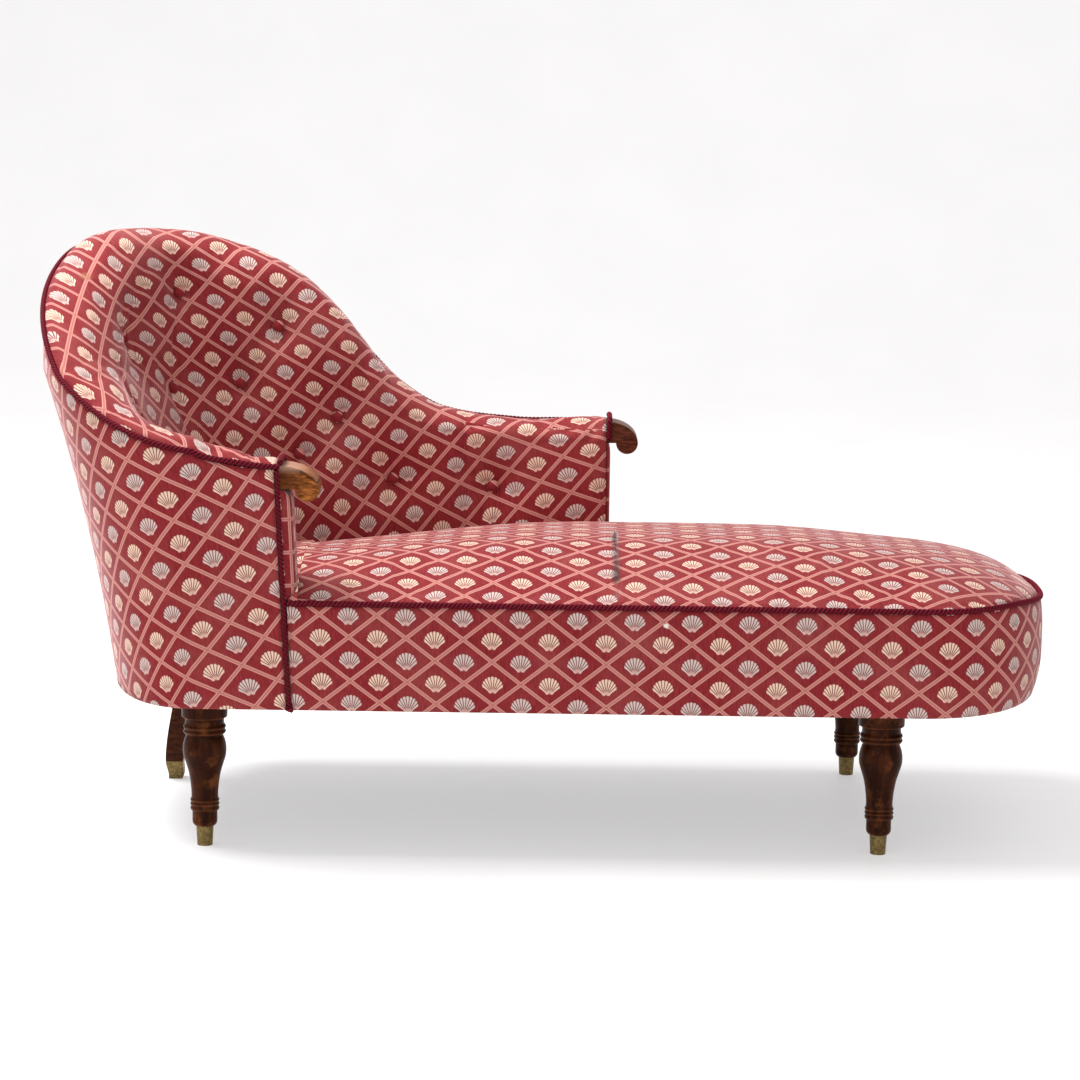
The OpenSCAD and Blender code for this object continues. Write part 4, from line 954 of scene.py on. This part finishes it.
def seat_pad():
    """The seat's crowned pad, from the head's wall to the foot."""
    v = np.sin(np.linspace(-1, 1, SEAT_COLS) * math.pi / 2)
    v = lerp(np.linspace(-1, 1, SEAT_COLS), v, SEAT_CROWDING)
    head, near_wall, far_wall, to_foot, foot = SEAT_ROWS
    rows = []
    for t in np.linspace(0, 1, head)[:-1]:
        rows.append(seat_row(("wall", 0), ("wall", 1), v, (1 - t) ** 2, t))
    turn_x = NEAR_OPEN_X - ROPE_R
    for x in np.concatenate([np.linspace(HEAD_X, turn_x, near_wall), [NEAR_OPEN_X],
                             np.linspace(NEAR_OPEN_X + SEAT_STEP, FAR_OPEN_X - SOFT_GAP, far_wall)]):
        near = ("wall", near_place(x)) if x <= turn_x else ("open", x)
        rows.append(seat_row(near, ("wall", far_place(x)), v))
    for x in np.linspace(FAR_OPEN_X, FOOT_X, to_foot):
        rows.append(seat_row(("open", x), ("open", x), v))
    for k in np.linspace(0.5, FOOT_LAST, foot)[1:]:
        rows.append(seat_row(("foot", k), ("foot", k), v, math.cos(math.pi * k) ** 2))
    top = np.array([r[0] for r in rows])
    low = np.array([r[1] for r in rows])
    low[..., 2] = STUFF_Z + SEAT_LIFT
    held = np.where(np.abs(v)[None, :] > SEAT_TACKED, 1.0, 0.0) + 0 * top[..., 0]
    held[:SEAT_END_ROWS] = 1
    held[-SEAT_END_ROWS:] = 1
    top[..., 2] -= SEAT_START * (1 - held)
    points = np.concatenate([top, low[:, ::-1]], 1)
    middle = SEAT_COLS // 2
    v_len = np.swapaxes(lengths(np.swapaxes(top, 0, 1)), 0, 1)
    v_len = v_len - v_len[:, middle:middle + 1] + top[:, middle, 1][:, None]
    cloth = np.zeros(points.shape[:1] + (points.shape[1] + 1, 2))
    cloth[:, :SEAT_COLS] = turned(top[..., 0], v_len, SEAT_TURN, SEAT_SHIFT)
    cloth[:, SEAT_COLS:] = cloth[:, SEAT_COLS - 1:SEAT_COLS]
    return swollen(new_piece("seat_pad", shaped_grid(points, cloth, held=held)), SEAT_SWELL_CAP)


BORDER_TURN = -0.5
BORDER_SHIFT = (-34.8, -28.5)
BORDER_ALONG = (110, 110, 60)
BORDER_ROWS = 22
BORDER_PADDING = 9


def band(name, point, s, z_low, z_top, rows, thick, cloth):
    """A band of cloth on its padding, closed, from the underside to the rope."""
    k = np.linspace(0, 1, rows)
    ss, kk = np.meshgrid(s, k, indexing="ij")
    z = lerp(z_low, z_top[:, None], kk)
    face = point(ss, 0, z)
    rear = point(ss, thick, z)
    points = np.concatenate([face, rear[:, ::-1]], 1)
    uv = np.zeros(points.shape[:1] + (points.shape[1] + 1, 2))
    uv[:, :rows] = cloth(ss, z, face)
    uv[:, rows:] = uv[:, rows - 1:rows]
    return new_piece(name, shaped_grid(points, uv))


def border():
    """The band of cloth round the seat, under its rope."""
    s = around(*BORDER_ALONG)

    def cloth(ss, z, face):
        line = foot_pt(s, 0, SEAT_Z + 0 * s, ROPE_SEAT)
        u = lengths(line)
        near = s <= 0
        u -= np.interp(FOOT_X, line[near, 0], u[near]) - FOOT_X
        return turned(u[:, None] + 0 * z, z, BORDER_TURN, BORDER_SHIFT)

    return band("seat_border_cloth", lambda a, q, z: foot_pt(a, q, z, ROPE_SEAT), s, UNDER_Z,
                edge_z(s) - ROPE_SEAT, BORDER_ROWS, CLOTH_T + BORDER_PADDING, cloth)


OUTSIDE_TURN = 14
OUTSIDE_SHIFT = (-32.4, -23.7)
OUTSIDE_ALONG = (24, 120, 80)
OUTSIDE_ROWS = 50
OUTSIDE_LINE_Z = 450


def outside():
    """The outside back, from the near post round the head to the far post."""
    s = around(*OUTSIDE_ALONG)
    d = 0.005
    run = np.linalg.norm(head_pt(s + d, 0, rope_z(s)) - head_pt(s - d, 0, rope_z(s)), axis=1)
    slope = (rope_z(s + d) - rope_z(s - d)) / np.maximum(run, 1e-3)
    top = rope_z(s) - ROPE_SEAT * np.hypot(1, slope)

    def cloth(ss, z, face):
        line = head_pt(s, 0, OUTSIDE_LINE_Z + 0 * s)
        u = lengths(line)
        u -= np.interp(0, s, u) - HEAD_X
        return turned(-u[:, None] + 0 * z, z, OUTSIDE_TURN, OUTSIDE_SHIFT)

    return band("outside_back_cloth", lambda a, q, z: head_pt(a, q, z, ROPE_SEAT), s, UNDER_Z, top,
                OUTSIDE_ROWS, CLOTH_T, cloth)


# The facing's bands lie level and upright: height of a level one, place of the upright one, and their step
FACING_BAND_Z = 387.6
FACING_BAND_U = 12
FACING_STEP = 46.5
FACING_ROWS = 40
FACING_COLS = 30
FACING_SQUARE_UP = 14
FACING_SQUARE_ACROSS = 8


def facing(side):
    """The padded strip on an arm's end, under its scroll."""
    low_z = SEAT_Z + CLOTH_T
    high_z = scroll_z(side) - SCROLL_NECK - SOFT_GAP
    w = np.sin(np.linspace(-1, 1, FACING_ROWS) * math.pi / 2)
    a = np.sin(np.linspace(-1, 1, FACING_COLS) * math.pi / 2)
    ww, aa = np.meshgrid(w, a, indexing="ij")
    z = lerp(low_z, high_z, (ww + 1) / 2)
    x = (near_x(z) if side < 0 else FAR_ARM_X) + SOFT_GAP + 0 * z
    bulge = lerp(NEAR_LOW_BULGE, NEAR_BULGE, (ww + 1) / 2) if side < 0 else FAR_BULGE
    rise = bulge * (1 - ww ** FACING_SQUARE_UP) * (1 - aa ** FACING_SQUARE_ACROSS)
    y = side * (HALF_WIDTH - lerp(ROPE_SEAT + SOFT_GAP, ARM_ROLL["width"] - CLOTH_T, (aa + 1) / 2))
    face = np.stack([x + CLOTH_T + rise, y, z], -1)
    rear = np.stack([x, y, z], -1)
    points = np.concatenate([face, rear[:, ::-1]], 1)
    uv = np.zeros(points.shape[:1] + (points.shape[1] + 1, 2))
    u = np.swapaxes(lengths(np.swapaxes(face, 0, 1)), 0, 1)
    level = (z - FACING_BAND_Z) / FACING_STEP + 0.5
    upright = (u - FACING_BAND_U) / FACING_STEP + 0.5
    uv[:, :FACING_COLS] = np.stack([REPEAT_X * (level + upright) / 2, REPEAT_Z * (level - upright) / 2], -1)
    uv[:, FACING_COLS:] = uv[:, FACING_COLS - 1:FACING_COLS]
    return new_piece("near_facing_pad" if side < 0 else "far_facing_pad", shaped_grid(points, uv))


SCROLL_NECK = 33
SCROLL_LIFT = 5


def scroll_z(side):
    return float(rope_z(-1.0)) if side < 0 else float(rope_z(2.0)) + SCROLL_LIFT


# Where the first button's cloth lies on the weave, and how far the next ones lie from it, in metres
BUTTON_MAP = 0.0185
BUTTON_MAP_STEP = 0.003
BUTTON_LIFT = 4.5


def covered_buttons():
    """Low domes of the same cloth, one in each tuft."""
    bm = bmesh.new()
    layer = bm.loops.layers.uv.new("cloth")
    for i, (s, f) in enumerate(BUTTONS):
        g = into(np.array(s), np.array(f))
        z = section(s, f)[1]
        _, _, ix, iy = outline(s, HEAD_X, head_reach(z), side_y(z), HEAD_ROUND, 0, 0, -1)
        out = -Vector((float(g[0] * ix), float(g[0] * iy), float(g[1]))).normalized()
        seat = Vector(padded_pt(np.array(s), np.array(f))) + out * BUTTON_LIFT
        made = bmesh.ops.create_uvsphere(bm, u_segments=28, v_segments=14, radius=BUTTON_R * MM)
        verts = made["verts"]
        bmesh.ops.scale(bm, vec=(1, 1, BUTTON_H / BUTTON_R), verts=verts)
        for face in {face for v in verts for face in v.link_faces}:
            for corner in face.loops:
                x, y, _ = corner.vert.co
                corner[layer].uv = (x + BUTTON_MAP_STEP * (i % 3), y + BUTTON_MAP)
        facing_out = out.to_track_quat("Z", "Y").to_matrix().to_4x4()
        bmesh.ops.transform(bm, matrix=Matrix.Translation(seat * MM) @ facing_out, verts=verts)
    bmesh.ops.recalc_face_normals(bm, faces=bm.faces)
    return new_piece("covered_buttons", bm)


KNOT_R = 3.2
KNOT_H = 12
KNOT_TURNS = 1.4
POST_POINTS = 60
KNOT_POINTS = 50


def post_path(side):
    """Path of the rope down an arm post, with a knot at the near one's foot."""
    z = np.linspace(UNDER_Z, float(rope_z(-1.0 if side < 0 else 2.0)) - ROPE_SEAT - SOFT_GAP, POST_POINTS)
    x = near_x(z) if side < 0 else FAR_ARM_X + 0 * z
    path = np.stack([x, side * side_y(z), z], 1)[::-1]
    if side > 0:
        return path
    turn = np.linspace(0, 1, KNOT_POINTS)
    wind = TAU * KNOT_TURNS * turn
    knot = np.stack([KNOT_R * np.sin(wind), KNOT_R * (np.cos(wind) - 1), KNOT_H * turn * (1 - turn)], 1)
    return np.concatenate([path, path[-1] + knot[1:]])


# Rope over the root of each scroll: share across the arm, and height in scroll necks
SCROLL_ROPE = (
    (0, 0), (0.25, 0.07), (0.5, 0.1), (0.75, 0.07), (0.9, 0.03), (0.99, -0.02), (1.03, -0.15), (1.03, -0.6),
    (1.02, -0.95),
)
SCROLL_T = 56
SCROLL_ROPE_POINTS = 120


def scroll_rope_path(side):
    """Path of the rope that goes over a scroll's root and down its inner side."""
    t = np.linspace(0, len(SCROLL_ROPE) - 1, SCROLL_ROPE_POINTS)
    k = along([(i, row[0]) for i, row in enumerate(SCROLL_ROPE)], t)
    rise = along([(i, row[1]) for i, row in enumerate(SCROLL_ROPE)], t)
    z = scroll_z(side) + ROPE_SEAT + SCROLL_NECK * rise
    x = (near_x(z) if side < 0 else FAR_ARM_X + 0 * z) + ROPE_SEAT + SOFT_GAP
    y = side * (HALF_WIDTH - ARM_ROLL["width"] / 2 + (SCROLL_T / 2 + ROPE_SEAT) * (1 - 2 * k))
    return np.stack([x, y, z], 1)


# Each padded piece with the nodes that it covers and the share of their space that it fills
PADDED_PIECES = (
    (seat_pad, ("seat_cover", "seat_stuffing"), 0.85),
    (back_pad, ("inside_back_cover", "back_stuffing"), 0.8),
    (border, ("seat_border", "border_padding"), 0.9),
    (outside, ("outside_back_cover",), 0.9),
    (lambda: facing(-1), ("near_arm_facing",), 0.8),
    (lambda: facing(1), ("far_arm_facing",), 0.8),
    (covered_buttons, ("back_buttons",), 0.9),
)
for make, nodes, fill in PADDED_PIECES:
    piece = dress(make(), CLOTH, "lattice_cloth", *nodes)

ROPE_LINE_POINTS = 1500
rope_line = np.linspace(-1, 2, ROPE_LINE_POINTS)
ROPES = (
    ("back", head_pt(rope_line, 0, rope_z(rope_line), -ROPE_R), 1, "back_rope"),
    ("seat", foot_pt(rope_line, 0, edge_z(rope_line), ROPE_SEAT), 1, "seat_rope"),
    ("near_post", post_path(-1), POST_ROPE_SHARE, "near_post_rope"),
    ("far_post", post_path(1), POST_ROPE_SHARE, "far_post_rope"),
    ("near_scroll", scroll_rope_path(-1), 1, "scroll_ropes"),
    ("far_scroll", scroll_rope_path(1), 1, "scroll_ropes"),
)
for name, path, share, node in ROPES:
    dress(twisted_rope(name + "_twisted_rope", path, share), ROPE, "edge_rope", node)


# Turned legs: height as a share of the leg over its ferrule, and radius as a share of the bulb
LEG_SHARES = (
    (0, 0.48), (0.012, 0.54), (0.03, 0.57), (0.115, 0.58), (0.12, 0.63), (0.136, 0.665), (0.152, 0.63),
    (0.168, 0.67), (0.184, 0.63), (0.2, 0.67), (0.216, 0.62), (0.26, 0.615), (0.34, 0.66), (0.424, 0.75),
    (0.495, 0.88), (0.545, 0.97), (0.59, 1), (0.635, 0.98), (0.675, 0.92), (0.7, 0.86), (0.712, 0.84),
    (0.72, 0.92), (0.737, 0.98), (0.754, 0.93), (0.772, 0.98), (0.79, 0.93), (0.8, 0.9),
    (0.84, 0.91), (0.85, 1.03), (0.862, 1.05), (1, 1.05),
)
BULB_R = 31
LEG_BOTTOM_Z = 29.2
LEG_TOP_Z = 215.4
LEG_Y = 245
LEG_HEAD_X = -478
LEG_FOOT_X = 484
# Core inside the ferrule, and the spigot that goes up into the leg block
CORE_Z = 1.7
CORE_R = 9.4
CORE_TOP_R = 10.8
CORE_TOP_Z = 29
SPIGOT_R = 10
SPIGOT_H = 50
LEG_RINGS = 240
LEG_SIDES = 64


def turned_leg(name, x, y):
    """A turned leg in one piece, from the core in its ferrule to the spigot in its block."""
    share = np.linspace(0, 1, LEG_RINGS)
    profile = [(0, CORE_Z), (CORE_R, CORE_Z), (CORE_TOP_R, CORE_TOP_Z)]
    profile += list(zip(BULB_R * along(LEG_SHARES, share), lerp(LEG_BOTTOM_Z, LEG_TOP_Z, share)))
    profile += [(SPIGOT_R, LEG_TOP_Z), (SPIGOT_R, LEG_TOP_Z + SPIGOT_H), (0, LEG_TOP_Z + SPIGOT_H)]
    bm = bmesh.new()
    line = [bm.verts.new((r * MM, 0, z * MM)) for r, z in profile]
    edges = [bm.edges.new(pair) for pair in zip(line, line[1:])]
    bmesh.ops.spin(bm, geom=line + edges, cent=(0, 0, 0), axis=(0, 0, 1), angle=TAU, steps=LEG_SIDES,
                     use_merge=True)
    bmesh.ops.remove_doubles(bm, verts=bm.verts, dist=1e-6)
    bmesh.ops.recalc_face_normals(bm, faces=bm.faces)
    bmesh.ops.translate(bm, verts=bm.verts, vec=(x * MM, y * MM, 0))
    return new_piece(name, bm, crease=50)


TURNED_LEGS = (
    ("leg_head_near", LEG_HEAD_X, -LEG_Y),
    ("leg_foot_near", LEG_FOOT_X, -LEG_Y),
    ("leg_foot_far", LEG_FOOT_X, LEG_Y),
)
for node, x, y in TURNED_LEGS:
    dress(turned_leg(node + "_turned", x, y), FINISHES["leg_wood"], "leg_wood", node)


def eased(name, node, width, keep):
    """The frame's own solid with its long edges rounded over, apart from those that keep() names."""
    bm = bmesh.new()
    bm.from_mesh(frame["nodes"][node].data)
    bmesh.ops.remove_doubles(bm, verts=bm.verts, dist=1e-5)
    bmesh.ops.dissolve_limit(bm, angle_limit=math.radians(1), verts=bm.verts, edges=bm.edges)
    edges = [e for e in bm.edges
             if len(e.link_faces) == 2 and e.calc_face_angle() > math.radians(60) and not keep(e)]
    bmesh.ops.bevel(bm, geom=edges, offset=width * MM, affect="EDGES", segments=4, profile=0.5, material=-1,
                    clamp_overlap=True)
    return new_piece(name, bm, crease=40)


def at_root(side):
    """Whether an edge lies at a scroll's root, where the dowel goes in."""
    root = (float(near_x(ARM_Z - SCROLL_NECK)) if side < 0 else FAR_ARM_X) + 1
    return lambda e: min(v.co.x for v in e.verts) < root * MM


NEAR_SCROLL_EASE = 2.6
FAR_SCROLL_EASE = 4
near_scroll = eased("near_scroll_eased", "near_scroll", NEAR_SCROLL_EASE, at_root(-1))
far_scroll = eased("far_scroll_eased", "far_scroll", FAR_SCROLL_EASE, at_root(1))
dress(near_scroll, FINISHES["scroll_wood"], "scroll_wood", "near_scroll")
dress(far_scroll, FAR_SCROLL, "scroll_wood", "far_scroll")


# Shift of the sabre leg along the couch at each height, so that it bows out over an upright foot
SABRE_SHIFT = ((0, 8.4), (29, -3), (60, -8), (90, -9), (130, -6.5), (158, -2), (185, 0), (300, 0))
SABRE_STEP = 6


def bowed(name, node):
    """The frame's own solid, cut across at even steps and bent along the couch."""
    bm = bmesh.new()
    bm.from_mesh(frame["nodes"][node].data)
    bmesh.ops.remove_doubles(bm, verts=bm.verts, dist=1e-5)
    for z in range(5, UNDER_Z, SABRE_STEP):
        bmesh.ops.bisect_plane(bm, geom=bm.verts[:] + bm.edges[:] + bm.faces[:], plane_co=(0, 0, z * MM),
                               plane_no=(0, 0, 1))
    for v in bm.verts:
        v.co.x += float(along(SABRE_SHIFT, v.co.z / MM)) * MM
    bmesh.ops.recalc_face_normals(bm, faces=bm.faces)
    return new_piece(name, bm, crease=35)


dress(bowed("sabre_leg_bowed", "leg_head_far_sabre"), SABRE, "leg_wood", "leg_head_far_sabre")
dress(bowed("sabre_ferrule_bowed", "ferrule_sabre"), FINISHES["brass"], "brass", "ferrule_sabre")


# Floor, backdrop and light, in metres
FLOOR_NEAR_Y = -6
FLOOR_FAR_Y = 5
FLOOR_HALF_WIDTH = 9
FLOOR_SHARE = 0.7
SWEEP_DEPTH = 2.5
SWEEP_HEIGHT = 5


def stage():
    """A plain floor that sweeps up into a backdrop."""
    bm = bmesh.new()
    bmesh.ops.create_grid(bm, x_segments=1, y_segments=60, size=1)
    for v in bm.verts:
        t = (v.co.y + 1) / 2
        run = lerp(FLOOR_NEAR_Y, FLOOR_FAR_Y, min(t / FLOOR_SHARE, 1))
        rise = 0
        if t > FLOOR_SHARE:
            turn = (t - FLOOR_SHARE) / (1 - FLOOR_SHARE) * math.pi / 2
            run += SWEEP_DEPTH * math.sin(turn)
            rise = SWEEP_HEIGHT * (1 - math.cos(turn))
        v.co = Vector((v.co.x * FLOOR_HALF_WIDTH, run, rise))
    floor = new_piece("floor", bm)
    f = Finish("floor_paint", 0.6)
    spots = f.noise(f.place(None), 3, 3)
    f.color(f.mix(spots.ramp(0.3, 0.7, 0, 1), (0.52, 0.515, 0.515), (0.54, 0.535, 0.535)))
    f.shader.inputs["Emission Color"].default_value = (1.0, 0.985, 0.985, 1)
    f.shader.inputs["Emission Strength"].default_value = 0.42
    floor.data.materials.append(f.material)


def area_light(name, place, target, size, power):
    data = bpy.data.lights.new(name, "AREA")
    data.shape = "RECTANGLE"
    data.size, data.size_y = size
    data.energy = power
    lamp = bpy.data.objects.new(name, data)
    bpy.context.scene.collection.objects.link(lamp)
    way = Vector(target) - Vector(place)
    lamp.matrix_world = Matrix.Translation(place) @ way.to_track_quat("-Z", "Y").to_matrix().to_4x4()


stage()
area_light("key", (-1.9, 0.3, 3.6), (0, 0, 0.3), size=(1.8, 1.8), power=200)
area_light("fill", (-0.8, -4.2, 2.6), (0, 0, 0.4), size=(3.0, 2.0), power=30)
world = bpy.data.worlds.new("studio")
world.use_nodes = True
world.node_tree.nodes["Background"].inputs["Color"].default_value = (1.0, 1.0, 1.0, 1)
world.node_tree.nodes["Background"].inputs["Strength"].default_value = 0.76
bpy.context.scene.world = world
